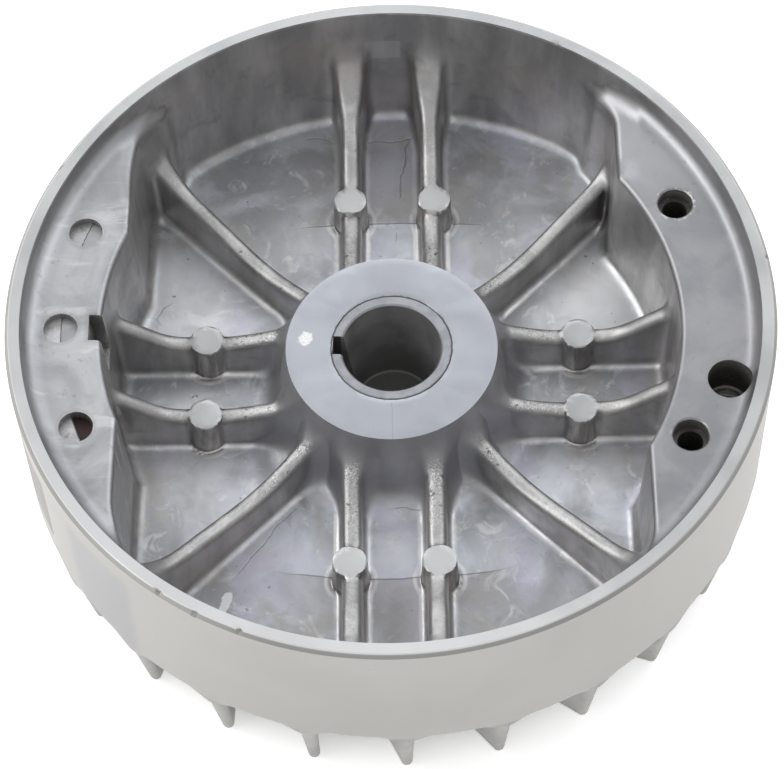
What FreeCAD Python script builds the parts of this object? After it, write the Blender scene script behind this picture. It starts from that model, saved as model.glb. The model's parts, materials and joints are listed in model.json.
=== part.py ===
import FreeCAD, Part
import math
import os
from FreeCAD import Vector, Rotation, Placement

# Magneto flywheel with cast fan blades for a small engine. All sizes in millimetres.
# Frame: +Z is the crank axis, pointing out of the open bowl; the origin is on that axis in the
# plane of the fan blade tips, which is what the flywheel stands on. -X is the magnet side.

doc = FreeCAD.newDocument("flywheel")

# ---------------------------------------------------------------- driving dimensions
sheet = doc.addObject("Spreadsheet::Sheet", "Dimensions")
DIMS = [
    # rim, web and hub of the casting
    ("overall_height", 68.0),
    ("rim_radius", 90.0),
    ("rim_face_width", 3.5),
    ("rim_chamfer", 1.0),
    ("bowl_foot_radius", 85.2),
    ("bowl_foot_fillet", 3.0),
    ("web_top_z", 28.0),
    ("web_bottom_z", 24.5),
    ("rim_foot_chamfer", 1.6),
    ("hub_face_radius", 25.3),
    ("hub_face_z", 50.6),
    ("hub_waist_radius", 28.4),
    ("hub_foot_fillet", 7.5),
    ("back_boss_radius", 24.0),
    ("back_boss_foot_radius", 26.5),
    ("back_boss_z", 18.0),
    # ribs and ejector bosses
    ("long_pair_offset", 10.0),
    ("cross_pair_offset", 10.2),
    ("rib_top_width", 3.4),
    ("rib_foot_width", 4.8),
    ("boss_pair_offset", 10.5),
    ("boss_top_radius", 4.0),
    ("boss_foot_radius", 4.6),
    ("boss_long_y", 50.5),
    ("boss_long_top_z", 38.0),
    ("boss_cross_x", 45.1),
    ("boss_cross_top_z", 38.7),
    # lands
    ("land_top_z", 62.0),
    ("land_inner_radius", 68.1),
    ("land_draft", 2.5),
    ("screw_hole_pitch_radius", 75.7),
    ("screw_hole_half_angle", 25.0),
    ("screw_counterbore_radius", 4.1),
    ("screw_counterbore_depth", 3.7),
    ("screw_core_radius", 3.0),
    ("screw_hole_depth", 24.0),
    ("balance_pitch_radius", 80.3),
    ("balance_angle", -12.5),
    ("balance_radius", 5.1),
    ("balance_depth", 14.0),
    ("window_radius", 4.0),
    ("window_depth", 2.0),
    ("window_leading_depth", 2.8),
    ("notch_width", 7.0),
    ("notch_depth", 14.0),
    # steel insert with the crank taper
    ("insert_neck_radius", 14.4),
    ("insert_neck_length", 5.0),
    ("insert_body_radius", 18.0),
    ("insert_foot_z", 23.3),
    ("insert_slot_width", 5.0),
    ("insert_slot_depth", 1.8),
    ("insert_slot_count", 6),
    ("taper_large_radius", 11.93),
    ("taper_small_radius", 9.2),
    ("taper_edge_chamfer", 0.45),
    ("keyway_width", 5.0),
    ("keyway_bottom_radius", 14.05),
    ("keyway_angle", 176.3),
    ("nut_recess_radius", 17.3),
    # magnet group
    ("pole_pitch_angle", 20.3),
    ("pole_angle", 13.0),
    ("shoe_inner_radius", 77.6),
    ("lamination_thickness", 1.6),
    ("lamination_count", 16),
    ("shoe_top_z", 60.0),
    ("rivet_pitch_radius", 84.6),
    ("rivet_half_angle", 3.4),
    ("rivet_radius", 1.5),
    ("rivet_head_radius", 2.6),
    ("rivet_head_height", 1.0),
    ("magnet_inner_radius", 72.8),
    ("magnet_top_z", 59.2),
    ("keeper_inner_radius", 70.6),
    ("keeper_half_angle", 23.5),
    # fan
    ("blade_count", 24),
    ("blade_sweep", 25.0),
    ("blade_length", 35.0),
    ("blade_first_angle", -88.8),
    ("blade_root_tip_radius", 87.9),
    ("blade_root_half_width", 2.45),
    ("blade_edge_tip_radius", 84.7),
    ("blade_edge_half_width", 1.4),
]
for row, (alias, value) in enumerate(DIMS, start=1):
    sheet.set("A%d" % row, alias.replace("_", " "))
    sheet.set("B%d" % row, repr(value))
    sheet.setAlias("B%d" % row, alias)
doc.recompute()


def dim(name):
    """The value of one driving dimension."""
    return float(sheet.get(name))


def bind(obj, **exprs):
    """Bind properties of an object to the spreadsheet. A bare alias name means Dimensions.alias."""
    for prop, expr in exprs.items():
        words = []
        token = ""
        for ch in expr + " ":
            if ch.isalnum() or ch == "_":
                token += ch
            else:
                words.append("Dimensions." + token if token in ALIASES else token)
                words.append(ch)
                token = ""
        obj.setExpression(prop.replace("__", "."), "".join(words).strip())
    return obj


ALIASES = {a for a, _ in DIMS}


def origin_plane(body, role):
    for f in body.Origin.OriginFeatures:
        if f.Role == role:
            return f
    raise RuntimeError(role)


def new_body(name):
    body = doc.addObject("PartDesign::Body", name)
    body.Label = name
    return body


def new_sketch(body, name, role="XY_Plane", offset=None):
    sk = body.newObject("Sketcher::SketchObject", name)
    sk.AttachmentSupport = [(origin_plane(body, role), "")]
    sk.MapMode = "FlatFace"
    if offset is not None:
        sk.AttachmentOffset = Placement(Vector(0, 0, offset), Rotation())
    return sk


def closed_lines(sk, pts):
    """A closed polyline in a sketch."""
    n = len(pts)
    for i in range(n):
        a, b = pts[i], pts[(i + 1) % n]
        sk.addGeometry(Part.LineSegment(Vector(a[0], a[1], 0), Vector(b[0], b[1], 0)), False)


def arc3(a, b, c):
    return Part.Arc(Vector(a[0], a[1], 0), Vector(b[0], b[1], 0), Vector(c[0], c[1], 0))


def seg(a, b):
    return Part.LineSegment(Vector(a[0], a[1], 0), Vector(b[0], b[1], 0))


def fillet_arc(p, q, r, radius):
    """Tangent arc of a given radius in the corner q between the lines q-p and q-r."""
    v1 = Vector(p[0] - q[0], p[1] - q[1], 0).normalize()
    v2 = Vector(r[0] - q[0], r[1] - q[1], 0).normalize()
    half = v1.getAngle(v2) / 2.0
    t = radius / math.tan(half)
    a = Vector(q[0], q[1], 0) + v1 * t
    c = Vector(q[0], q[1], 0) + v2 * t
    mid = Vector(q[0], q[1], 0) + (v1 + v2).normalize() * (radius / math.sin(half) - radius)
    return (a.x, a.y), (mid.x, mid.y), (c.x, c.y)


H = dim("overall_height")

# ---------------------------------------------------------------- rim, web and hub: one turned profile
blank = new_body("rim_web_hub")
sk = new_sketch(blank, "rim_profile", "XZ_Plane")
rim_in = dim("rim_radius") - dim("rim_face_width")
foot_c = (dim("bowl_foot_radius"), dim("web_top_z"))
hub_corner = (dim("hub_waist_radius") + 1.2, dim("web_top_z"))
f1 = fillet_arc((rim_in, H), foot_c, (60, dim("web_top_z")), dim("bowl_foot_fillet"))
f2 = fillet_arc((60, dim("web_top_z")), hub_corner, (dim("hub_face_radius"), dim("hub_face_z")), dim("hub_foot_fillet"))
chain = [
    ("line", (0, dim("back_boss_z")), (dim("back_boss_radius"), dim("back_boss_z"))),
    ("line", None, (dim("back_boss_foot_radius"), dim("web_bottom_z"))),
    ("line", None, (dim("rim_radius") - dim("rim_foot_chamfer"), dim("web_bottom_z"))),
    ("line", None, (dim("rim_radius"), dim("web_bottom_z") + dim("rim_foot_chamfer"))),
    ("line", None, (dim("rim_radius"), H - dim("rim_chamfer"))),
    ("line", None, (dim("rim_radius") - dim("rim_chamfer"), H)),
    ("line", None, (rim_in, H)),
    ("line", None, f1[0]),
    ("arc", f1[1], f1[2]),
    ("line", None, f2[0]),
    ("arc", f2[1], f2[2]),
    ("line", None, (dim("hub_face_radius"), dim("hub_face_z"))),
    ("line", None, (0, dim("hub_face_z"))),
    ("line", None, (0, dim("back_boss_z"))),
]
at = chain[0][1]
for kind, mid, end in chain:
    if kind == "line":
        sk.addGeometry(seg(at, end), False)
    else:
        sk.addGeometry(arc3(at, mid, end), False)
    at = end
rev = blank.newObject("PartDesign::Revolution", "rim_turning")
rev.Profile = sk
rev.ReferenceAxis = (sk, ["V_Axis"])
rev.Angle = 360.0
doc.recompute()

# ---------------------------------------------------------------- ribs
# Each rib is a drafted bar (a wedge) trimmed by a side profile with a sagging top.
WEB_IN = dim("web_bottom_z") + 1.5


def rib_profile(name, top):
    """Side profile of a rib in the XZ plane, padded wider than the bar it trims."""
    body = new_body(name)
    s = new_sketch(body, name + "_side", "XZ_Plane")
    crv = Part.BSplineCurve()
    crv.interpolate([Vector(x, z, 0) for x, z in top])
    s.addGeometry(crv, False)
    a, b = top[0], top[-1]
    s.addGeometry(seg(b, (b[0], WEB_IN)), False)
    s.addGeometry(seg((b[0], WEB_IN), (a[0], WEB_IN)), False)
    s.addGeometry(seg((a[0], WEB_IN), a), False)
    pad = body.newObject("PartDesign::Pad", name + "_pad")
    pad.Profile = s
    pad.Length = 14.0
    pad.Midplane = True
    return body


def rib_bar(name, x0, x1, z1):
    """A bar along X whose width runs from the rib's foot width at the web to its top width."""
    w = doc.addObject("Part::Wedge", name)
    w.Xmin, w.Xmax, w.X2min, w.X2max = x0, x1, x0, x1
    w.Ymin = 0.0
    w.Ymax = z1 - WEB_IN
    rise = (z1 - WEB_IN) / (38.0 - WEB_IN)
    foot = dim("rib_foot_width")
    slope = (foot - dim("rib_top_width")) * rise
    w.Zmin, w.Zmax = -foot / 2, foot / 2
    w.Z2min, w.Z2max = -max(foot - slope, 1.6) / 2, max(foot - slope, 1.6) / 2
    bind(w, Zmin="-rib_foot_width / 2", Zmax="rib_foot_width / 2")
    # the wedge grows along its own Y: stand it up so that it grows along Z
    w.Placement = Placement(Vector(0, 0, WEB_IN), Rotation(Vector(1, 0, 0), 90))
    return w


T = H  # the rim top; rib heights are set down from it
SAG = [(21.0, T - 22.5), (25.0, T - 25.2), (32.0, T - 28.0), (38.0, T - 29.6), (44.0, T - 30.4), (50.0, T - 30.1), (56.0, T - 29.0)]
LONG_TOP = SAG[:3] + [(38.0, T - 29.9), (44.0, T - 30.9), (50.0, T - 30.9), (56.0, T - 29.6), (64.0, T - 27.2), (72.0, T - 25.4), (77.0, T - 23.0), (81.5, T - 18.8), (84.5, T - 14.5), (86.8, T - 10.5)]
DIAG_TOP = SAG + [(64.0, T - 27.4), (70.0, T - 26.2), (75.0, T - 24.2), (79.5, T - 20.4), (83.0, T - 16.5), (86.0, T - 13.5)]
CROSS_TOP = SAG[:-1] + [(54.0, T - 28.6), (57.0, T - 26.7), (60.5, T - 23.8), (63.0, T - 21.8), (66.0, T - 19.4), (69.0, T - 17.4)]

long_body = rib_profile("long_rib_side", LONG_TOP)
diag_body = rib_profile("diagonal_rib_side", DIAG_TOP)
cross_body = rib_profile("cross_rib_side", CROSS_TOP)
bar_long = rib_bar("long_rib_bar", 20.0, 87.5, 58.0)
bar_diag = rib_bar("diagonal_rib_bar", 20.0, 87.0, 56.0)
bar_cross = rib_bar("cross_rib_bar", 20.0, 70.0, 52.0)
doc.recompute()


def common(name, a, b):
    c = doc.addObject("Part::MultiCommon", name)
    c.Shapes = [a, b]
    return c


rib_long = common("long_rib", bar_long, long_body)
rib_diag = common("diagonal_rib", bar_diag, diag_body)
rib_cross = common("cross_rib", bar_cross, cross_body)
doc.recompute()


def placed_copy(src, name, angle, offset):
    """The same rib at an angle round the axis and an offset to its left."""
    link = doc.addObject("Part::Feature", name)
    link.Shape = src.Shape.copy()
    a = math.radians(angle)
    link.Placement = Placement(Vector(-math.sin(a) * offset, math.cos(a) * offset, 0), Rotation(Vector(0, 0, 1), angle))
    return link


ribs = []
for i, (ang, side) in enumerate([(90, 1), (90, -1), (-90, 1), (-90, -1)]):
    ribs.append(placed_copy(rib_long, "long_rib_%d" % (i + 1), ang, side * dim("long_pair_offset")))
for i, (ang, side) in enumerate([(0, 1), (0, -1), (180, 1), (180, -1)]):
    ribs.append(placed_copy(rib_cross, "cross_rib_%d" % (i + 1), ang, side * dim("cross_pair_offset")))
for i, ang in enumerate([45, 135, 225, 315]):
    ribs.append(placed_copy(rib_diag, "diagonal_rib_%d" % (i + 1), ang, 0.0))

# ---------------------------------------------------------------- ejector bosses
bosses = []
k = 0
for sx in (1, -1):
    for sy in (1, -1):
        k += 1
        b = doc.addObject("Part::Cone", "long_boss_%d" % k)
        bind(b, Radius1="boss_foot_radius", Radius2="boss_top_radius", Height="boss_long_top_z - web_bottom_z - 1.5")
        b.Placement = Placement(Vector(sx * dim("boss_pair_offset"), sy * dim("boss_long_y"), WEB_IN), Rotation())
        bosses.append(b)
        b = doc.addObject("Part::Cone", "cross_boss_%d" % k)
        bind(b, Radius1="boss_foot_radius", Radius2="boss_top_radius", Height="boss_cross_top_z - web_bottom_z - 1.5")
        b.Placement = Placement(Vector(sx * dim("boss_cross_x"), sy * (dim("boss_pair_offset") - 0.1), WEB_IN), Rotation())
        bosses.append(b)

# ---------------------------------------------------------------- lands
# Outline of each land's top: inner edge as measured, outer side buried in the rim wall.


def land(name, path, arc_from, arc_to):
    """A land lofted from its machined top down into the web; its inner wall leans inwards with the draft."""
    body = new_body(name)
    drop = dim("land_top_z") - WEB_IN
    lean = drop * math.tan(math.radians(dim("land_draft")))
    sketches = []
    for level, grow in ((dim("land_top_z"), 0.0), (WEB_IN, lean)):
        s = new_sketch(body, name + ("_foot" if grow else "_top"), "XY_Plane", level)
        pts = []
        for i, p in enumerate(path):
            r = math.hypot(p[0], p[1])
            k = (r - grow) / r if 0 < i < len(path) - 1 else 1.0
            pts.append((p[0] * k, p[1] * k))
        for i in range(len(pts) - 1):
            here, there = pts[i], pts[i + 1]
            if path[i] == arc_from and path[i + 1] == arc_to:
                sign = 1.0 if here[0] > 0 else -1.0
                mid_a = (math.atan2(sign * here[1], sign * here[0]) + math.atan2(sign * there[1], sign * there[0])) / 2
                r = dim("land_inner_radius") - grow
                s.addGeometry(arc3(here, (sign * r * math.cos(mid_a), sign * r * math.sin(mid_a)), there), False)
            else:
                s.addGeometry(seg(here, there), False)
        s.addGeometry(arc3(pts[-1], (math.copysign(87.6, pts[0][0]), 0), pts[0]), False)
        sketches.append(s)
    lo = body.newObject("PartDesign::AdditiveLoft", name + "_loft")
    lo.Profile = sketches[0]
    lo.Sections = [sketches[1]]
    lo.Ruled = True
    return body


def on(r, deg):
    return (r * math.cos(math.radians(deg)), r * math.sin(math.radians(deg)))


LR = dim("land_inner_radius")
ra, rb = on(LR, 35.6), on(LR, -29.6)
land_right = land(
    "counterweight_land",
    [on(87.6, 54.6), (50.6, 67.2), (53.4, 63.6), (55.3, 58.6), ra, rb, (58.7, -38.6), (58.9, -56.5), (57.2, -62.0), on(87.6, -48.6)],
    ra,
    rb,
)
la, lb = on(LR, 156.7), on(LR, 203.4)
land_left = land(
    "magnet_land",
    [on(87.6, 133.4), (-59.2, 60.2), (-61.6, 54.0), (-62.4, 46.0), la, lb, (-63.6, -32.0), (-63.8, -47.6), (-62.2, -54.0), on(87.6, 221.4)],
    la,
    lb,
)
doc.recompute()

# ---------------------------------------------------------------- fan blades
fan = new_body("fan_blades")


def slot(s, tip_r, half, length):
    """A blade section: a long slot from its tip inwards, swept from the radial direction."""
    phi = math.radians(dim("blade_first_angle"))
    d = phi + math.radians(dim("blade_sweep"))
    tip = Vector(tip_r * math.cos(phi), tip_r * math.sin(phi), 0)
    u = Vector(math.cos(d), math.sin(d), 0)
    n = Vector(-u.y, u.x, 0)
    tip = tip - u * half
    root = tip - u * length
    a, b = tip + n * half, tip - n * half
    c, e = root - n * half, root + n * half
    s.addGeometry(Part.Arc(a, tip + u * half, b), False)
    s.addGeometry(Part.LineSegment(b, c), False)
    s.addGeometry(Part.Arc(c, root - u * half, e), False)
    s.addGeometry(Part.LineSegment(e, a), False)


sk_root = new_sketch(fan, "blade_root_section", "XY_Plane", dim("web_bottom_z") + 0.6)
slot(sk_root, dim("blade_root_tip_radius") + 1.2, dim("blade_root_half_width"), dim("blade_length") + 2.0)
sk_edge = new_sketch(fan, "blade_edge_section", "XY_Plane", 0.0)
slot(sk_edge, dim("blade_edge_tip_radius") + 1.2, dim("blade_edge_half_width"), dim("blade_length"))
loft = fan.newObject("PartDesign::AdditiveLoft", "blade_loft")
loft.Profile = sk_root
loft.Sections = [sk_edge]
loft.Ruled = True
doc.recompute()
one_blade = loft.Shape.Volume
pattern = fan.newObject("PartDesign::PolarPattern", "blade_pattern")
pattern.Originals = [loft]
pattern.Axis = (sk_edge, ["N_Axis"])
pattern.Angle = 360.0
bind(pattern, Occurrences="blade_count")
fan.Tip = pattern
doc.recompute()
print("one blade", round(one_blade, 1), "all blades", round(fan.Shape.Volume, 1), "solids", len(fan.Shape.Solids))

# ---------------------------------------------------------------- hub insert
insert_blank = new_body("insert_blank")
sk_i = new_sketch(insert_blank, "insert_profile", "XZ_Plane")
zt, zf = dim("hub_face_z"), dim("insert_foot_z")
nr, br = dim("insert_neck_radius"), dim("insert_body_radius")
closed_lines(
    sk_i,
    [(0, zf), (br - 1.0, zf), (br, zf + 1.0), (br, zt - dim("insert_neck_length") - 1.0), (br - 1.0, zt - dim("insert_neck_length")), (nr, zt - dim("insert_neck_length")), (nr, zt), (0, zt)],
)
rv = insert_blank.newObject("PartDesign::Revolution", "insert_turning")
rv.Profile = sk_i
rv.ReferenceAxis = (sk_i, ["V_Axis"])
rv.Angle = 360.0
doc.recompute()
before = insert_blank.Shape.Volume
sk_s = new_sketch(insert_blank, "grip_slot", "XY_Plane", zf - 1.0)
sw, sd = dim("insert_slot_width"), dim("insert_slot_depth")
closed_lines(sk_s, [(br - sd, -sw / 2), (br + 3, -sw / 2), (br + 3, sw / 2), (br - sd, sw / 2)])
pk = insert_blank.newObject("PartDesign::Pocket", "grip_slot_cut")
pk.Profile = sk_s
pk.Length = 16.0
pk.Reversed = True
doc.recompute()
pp = insert_blank.newObject("PartDesign::PolarPattern", "grip_slots")
pp.Originals = [pk]
pp.Axis = (sk_s, ["N_Axis"])
pp.Angle = 360.0
bind(pp, Occurrences="insert_slot_count")
insert_blank.Tip = pp
doc.recompute()
print("grip slots cut", round(before - insert_blank.Shape.Volume, 1))

taper = doc.addObject("Part::Cone", "crank_taper")
bind(taper, Radius1="taper_small_radius", Radius2="taper_large_radius", Height="hub_face_z - insert_foot_z")
taper.Placement = Placement(Vector(0, 0, zf), Rotation())
taper_top = doc.addObject("Part::Cone", "taper_mouth_chamfer")
bind(taper_top, Radius1="taper_large_radius - taper_edge_chamfer / 10", Radius2="taper_large_radius + taper_edge_chamfer", Height="taper_edge_chamfer")
taper_top.Placement = Placement(Vector(0, 0, zt - dim("taper_edge_chamfer")), Rotation())
taper_foot = doc.addObject("Part::Cone", "taper_foot_chamfer")
bind(taper_foot, Radius1="taper_small_radius + taper_edge_chamfer", Radius2="taper_small_radius + taper_edge_chamfer / 10", Height="taper_edge_chamfer")
taper_foot.Placement = Placement(Vector(0, 0, zf), Rotation())
key = doc.addObject("Part::Box", "keyway")
bind(key, Length="keyway_bottom_radius", Width="keyway_width", Height="hub_face_z - insert_foot_z")
key_turn = Rotation(Vector(0, 0, 1), dim("keyway_angle") - 180.0)
key.Placement = Placement(key_turn.multVec(Vector(-dim("keyway_bottom_radius"), -dim("keyway_width") / 2, 0.0)) + Vector(0, 0, zf), key_turn)
bore_tools = doc.addObject("Part::MultiFuse", "bore_and_keyway")
bore_tools.Shapes = [taper, taper_top, taper_foot, key]
hub_insert = doc.addObject("Part::Cut", "hub_insert")
hub_insert.Base = insert_blank
hub_insert.Tool = bore_tools
hub_insert.Label = "hub_insert"
doc.recompute()

# ---------------------------------------------------------------- magnet group


def sector_solid(name, r0, r1, half_deg, z0, z1, centre_deg):
    """An annular sector padded between two heights, about a centre line at centre_deg."""
    body = new_body(name)
    s = new_sketch(body, name + "_outline", "XY_Plane", z0)
    a0, a1 = centre_deg - half_deg, centre_deg + half_deg
    s.addGeometry(arc3(on(r1, a0), on(r1, centre_deg), on(r1, a1)), False)
    s.addGeometry(seg(on(r1, a1), on(r0, a1)), False)
    s.addGeometry(arc3(on(r0, a1), on(r0, centre_deg), on(r0, a0)), False)
    s.addGeometry(seg(on(r0, a0), on(r1, a0)), False)
    p = body.newObject("PartDesign::Pad", name + "_pad")
    p.Profile = s
    p.Length = z1 - z0
    return body


SHOE_TOP = dim("shoe_top_z")
SHOE_LEN = dim("lamination_thickness") * dim("lamination_count")
SHOE_FOOT = SHOE_TOP - SHOE_LEN
POLES = [("leading", 180.0 + dim("pole_pitch_angle")), ("centre", 180.0), ("trailing", 180.0 - dim("pole_pitch_angle"))]
shoe_pockets, magnets, rivet_nodes, shoe_nodes = [], [], [], []
for name, ang in POLES:
    # pocket the casting leaves for the stack
    pocket = sector_solid("shoe_pocket_" + name, dim("shoe_inner_radius"), dim("rim_radius"), dim("pole_angle") / 2, SHOE_FOOT, SHOE_TOP, ang)
    shoe_pockets.append(pocket)
    doc.recompute()
    # two rivets, each with a flat head at both ends
    rivets = []
    for side in (-1, 1):
        x, y = on(dim("rivet_pitch_radius"), ang + side * dim("rivet_half_angle"))
        parts = []
        for z, r, hgt in (
            (SHOE_FOOT - dim("rivet_head_height"), "rivet_head_radius", dim("rivet_head_height")),
            (SHOE_FOOT, "rivet_radius", SHOE_LEN),
            (SHOE_TOP, "rivet_head_radius", dim("rivet_head_height")),
        ):
            c = doc.addObject("Part::Cylinder", "rivet_part")
            bind(c, Radius=r)
            c.Height = hgt
            c.Placement = Placement(Vector(x, y, z), Rotation())
            parts.append(c)
        f = doc.addObject("Part::MultiFuse", "rivet_%s_%d" % (name, 1 if side < 0 else 2))
        f.Shapes = parts
        f.Refine = True
        rivets.append(f)
    group = doc.addObject("Part::Compound", "rivets_" + name)
    group.Links = rivets
    group.Label = "rivets_" + name
    rivet_nodes.append(group)
    doc.recompute()
    # the stack: equal stampings, each its own solid, pierced for the rivets
    plates = []
    for i in range(int(dim("lamination_count"))):
        z0 = SHOE_FOOT + i * dim("lamination_thickness")
        w1 = [Part.Arc(Vector(*on(dim("rim_radius"), ang - dim("pole_angle") / 2), z0), Vector(*on(dim("rim_radius"), ang), z0), Vector(*on(dim("rim_radius"), ang + dim("pole_angle") / 2), z0)).toShape()]
        w1.append(Part.LineSegment(Vector(*on(dim("rim_radius"), ang + dim("pole_angle") / 2), z0), Vector(*on(dim("shoe_inner_radius"), ang + dim("pole_angle") / 2), z0)).toShape())
        w1.append(Part.Arc(Vector(*on(dim("shoe_inner_radius"), ang + dim("pole_angle") / 2), z0), Vector(*on(dim("shoe_inner_radius"), ang), z0), Vector(*on(dim("shoe_inner_radius"), ang - dim("pole_angle") / 2), z0)).toShape())
        w1.append(Part.LineSegment(Vector(*on(dim("shoe_inner_radius"), ang - dim("pole_angle") / 2), z0), Vector(*on(dim("rim_radius"), ang - dim("pole_angle") / 2), z0)).toShape())
        plate = Part.Face(Part.Wire(w1)).extrude(Vector(0, 0, dim("lamination_thickness")))
        for side in (-1, 1):
            x, y = on(dim("rivet_pitch_radius"), ang + side * dim("rivet_half_angle"))
            plate = plate.cut(Part.makeCylinder(dim("rivet_radius"), dim("lamination_thickness"), Vector(x, y, z0)))
        plates.append(plate)
    stack = doc.addObject("Part::Feature", "pole_shoe_" + name)
    stack.Shape = Part.makeCompound(plates)
    stack.Label = "pole_shoe_" + name
    shoe_nodes.append(stack)
    magnets.append(sector_solid("magnet_" + name, dim("magnet_inner_radius"), dim("shoe_inner_radius"), dim("pole_angle") / 2, SHOE_FOOT, dim("magnet_top_z"), ang))
keeper = sector_solid("magnet_keeper", dim("keeper_inner_radius"), dim("magnet_inner_radius"), dim("keeper_half_angle"), SHOE_FOOT + 0.6, dim("magnet_top_z") - 0.6, 180.0)
doc.recompute()

# ---------------------------------------------------------------- holes, windows and notch of the casting


def cyl(name, r_expr, height, x, y, z):
    c = doc.addObject("Part::Cylinder", name)
    bind(c, Radius=r_expr)
    c.Height = height
    c.Placement = Placement(Vector(x, y, z), Rotation())
    return c


LT = dim("land_top_z")
cuts = []
for name, ang in POLES:
    x, y = on(dim("shoe_inner_radius"), ang)
    deep = dim("window_leading_depth") if name == "leading" else dim("window_depth")
    cuts.append(cyl("window_" + name, "window_radius", deep + 3.0, x, y, LT - deep))
for n, side in (("upper", 1), ("lower", -1)):
    x, y = on(dim("screw_hole_pitch_radius"), side * dim("screw_hole_half_angle"))
    cuts.append(cyl("screw_counterbore_" + n, "screw_counterbore_radius", dim("screw_counterbore_depth") + 2.0, x, y, LT - dim("screw_counterbore_depth")))
    cuts.append(cyl("screw_core_" + n, "screw_core_radius", dim("screw_hole_depth"), x, y, LT - dim("screw_hole_depth")))
x, y = on(dim("balance_pitch_radius"), dim("balance_angle"))
cuts.append(cyl("balance_drilling", "balance_radius", dim("balance_depth") + 2.0, x, y, LT - dim("balance_depth")))
notch = doc.addObject("Part::Box", "keeper_notch")
notch.Length = 6.4
bind(notch, Width="notch_width", Height="notch_depth + 2")
notch.Placement = Placement(Vector(-dim("keeper_inner_radius") - 0.4, -dim("notch_width") / 2, LT - dim("notch_depth")), Rotation())
cuts.append(notch)
recess = doc.addObject("Part::Cylinder", "nut_recess")
bind(recess, Radius="nut_recess_radius", Height="insert_foot_z - back_boss_z + 1")
recess.Placement = Placement(Vector(0, 0, dim("back_boss_z") - 1.0), Rotation())
cuts.append(recess)

additive = doc.addObject("Part::MultiFuse", "casting_with_ribs")
additive.Shapes = [blank] + ribs + bosses + [land_right, land_left, fan]
doc.recompute()
tools = doc.addObject("Part::MultiFuse", "casting_hollows")
tools.Shapes = [insert_blank] + shoe_pockets + rivet_nodes + magnets + [keeper] + cuts
doc.recompute()
casting = doc.addObject("Part::Cut", "flywheel_casting")
casting.Base = additive
casting.Tool = tools
casting.Label = "flywheel_casting"
doc.recompute()

# ---------------------------------------------------------------- checks and export
nodes = [casting, hub_insert] + shoe_nodes + rivet_nodes + magnets + [keeper]
for obj in doc.Objects:
    bad = [s for s in obj.State if s in ("Invalid", "Error")]
    if bad:
        raise RuntimeError("%s is %s" % (obj.Label, bad))
for obj in nodes:
    shape = obj.Shape
    if shape.isNull() or not shape.isValid() or not shape.Solids:
        raise RuntimeError("bad shape: " + obj.Label)
    bb = shape.BoundBox
    print("%-22s solids %2d  volume %10.1f  z %6.2f..%6.2f" % (obj.Label, len(shape.Solids), shape.Volume, bb.ZMin, bb.ZMax))
if len(casting.Shape.Solids) != 1:
    raise RuntimeError("the casting is not one solid")

os.makedirs("parts", exist_ok=True)
for obj in nodes:
    obj.Shape.exportStep("parts/%s.step" % obj.Label)
print("written", len(nodes), "parts")
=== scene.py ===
"""A cast engine flywheel seen into its ribbed bowl, on a pale studio floor.

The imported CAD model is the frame. The casting and the steel hub insert are meshed here from
distance fields in millimetres (same axes as the CAD), so that every fillet, draft and rolled
edge of the casting is real geometry. The pole shoes, rivets, magnets and keeper stay as CAD
nodes and only get their materials.
"""

import json
import math
import time

import bpy
import numpy as np
from mathutils import Matrix, Vector

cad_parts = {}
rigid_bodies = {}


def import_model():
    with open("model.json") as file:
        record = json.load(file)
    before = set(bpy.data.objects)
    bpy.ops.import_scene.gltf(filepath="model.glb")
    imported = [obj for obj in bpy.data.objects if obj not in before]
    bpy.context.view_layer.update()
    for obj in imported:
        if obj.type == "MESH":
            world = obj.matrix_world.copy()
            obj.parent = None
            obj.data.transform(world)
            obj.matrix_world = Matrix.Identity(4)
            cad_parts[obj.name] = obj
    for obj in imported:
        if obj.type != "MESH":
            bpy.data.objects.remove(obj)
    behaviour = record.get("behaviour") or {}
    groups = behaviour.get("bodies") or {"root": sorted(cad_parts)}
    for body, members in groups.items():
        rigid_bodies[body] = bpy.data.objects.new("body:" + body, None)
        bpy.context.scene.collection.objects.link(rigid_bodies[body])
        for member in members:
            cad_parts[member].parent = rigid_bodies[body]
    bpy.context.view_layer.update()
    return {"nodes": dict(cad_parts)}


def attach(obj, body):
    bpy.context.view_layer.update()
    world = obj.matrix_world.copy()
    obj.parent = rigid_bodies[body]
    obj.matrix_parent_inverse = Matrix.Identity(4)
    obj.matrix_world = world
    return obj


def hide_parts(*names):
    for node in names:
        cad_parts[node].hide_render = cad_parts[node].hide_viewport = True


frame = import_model()
scene = bpy.context.scene

# ------------------------------------------------------------------ camera
cam_data = bpy.data.cameras.new("camera")
cam = bpy.data.objects.new("camera", cam_data)
scene.collection.objects.link(cam)
cam_data.sensor_fit = "HORIZONTAL"
cam_data.sensor_width = 36.0
cam_data.lens = 136.942
cam_data.clip_start = 0.01
cam_data.clip_end = 20.0
right = (0.99970278, -0.00887632, -0.02270588)
up = (0.0192818, 0.85780948, 0.51360598)
back = (0.01491839, -0.51389114, 0.85772568)
place = (0.0105244, -0.3722951, 0.6546918)
cam.matrix_world = Matrix(
    (
        (right[0], up[0], back[0], place[0]),
        (right[1], up[1], back[1], place[1]),
        (right[2], up[2], back[2], place[2]),
        (0.0, 0.0, 0.0, 1.0),
    )
)
scene.camera = cam

# ------------------------------------------------------------------ distance-field helpers
F32 = np.float32


def round_union(a, b, k):
    ka = np.maximum(k - a, 0.0)
    kb = np.maximum(k - b, 0.0)
    return np.maximum(k, np.minimum(a, b)) - np.sqrt(ka * ka + kb * kb)


def round_inter(a, b, k):
    ka = np.maximum(k + a, 0.0)
    kb = np.maximum(k + b, 0.0)
    return np.minimum(-k, np.maximum(a, b)) + np.sqrt(ka * ka + kb * kb)


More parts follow.
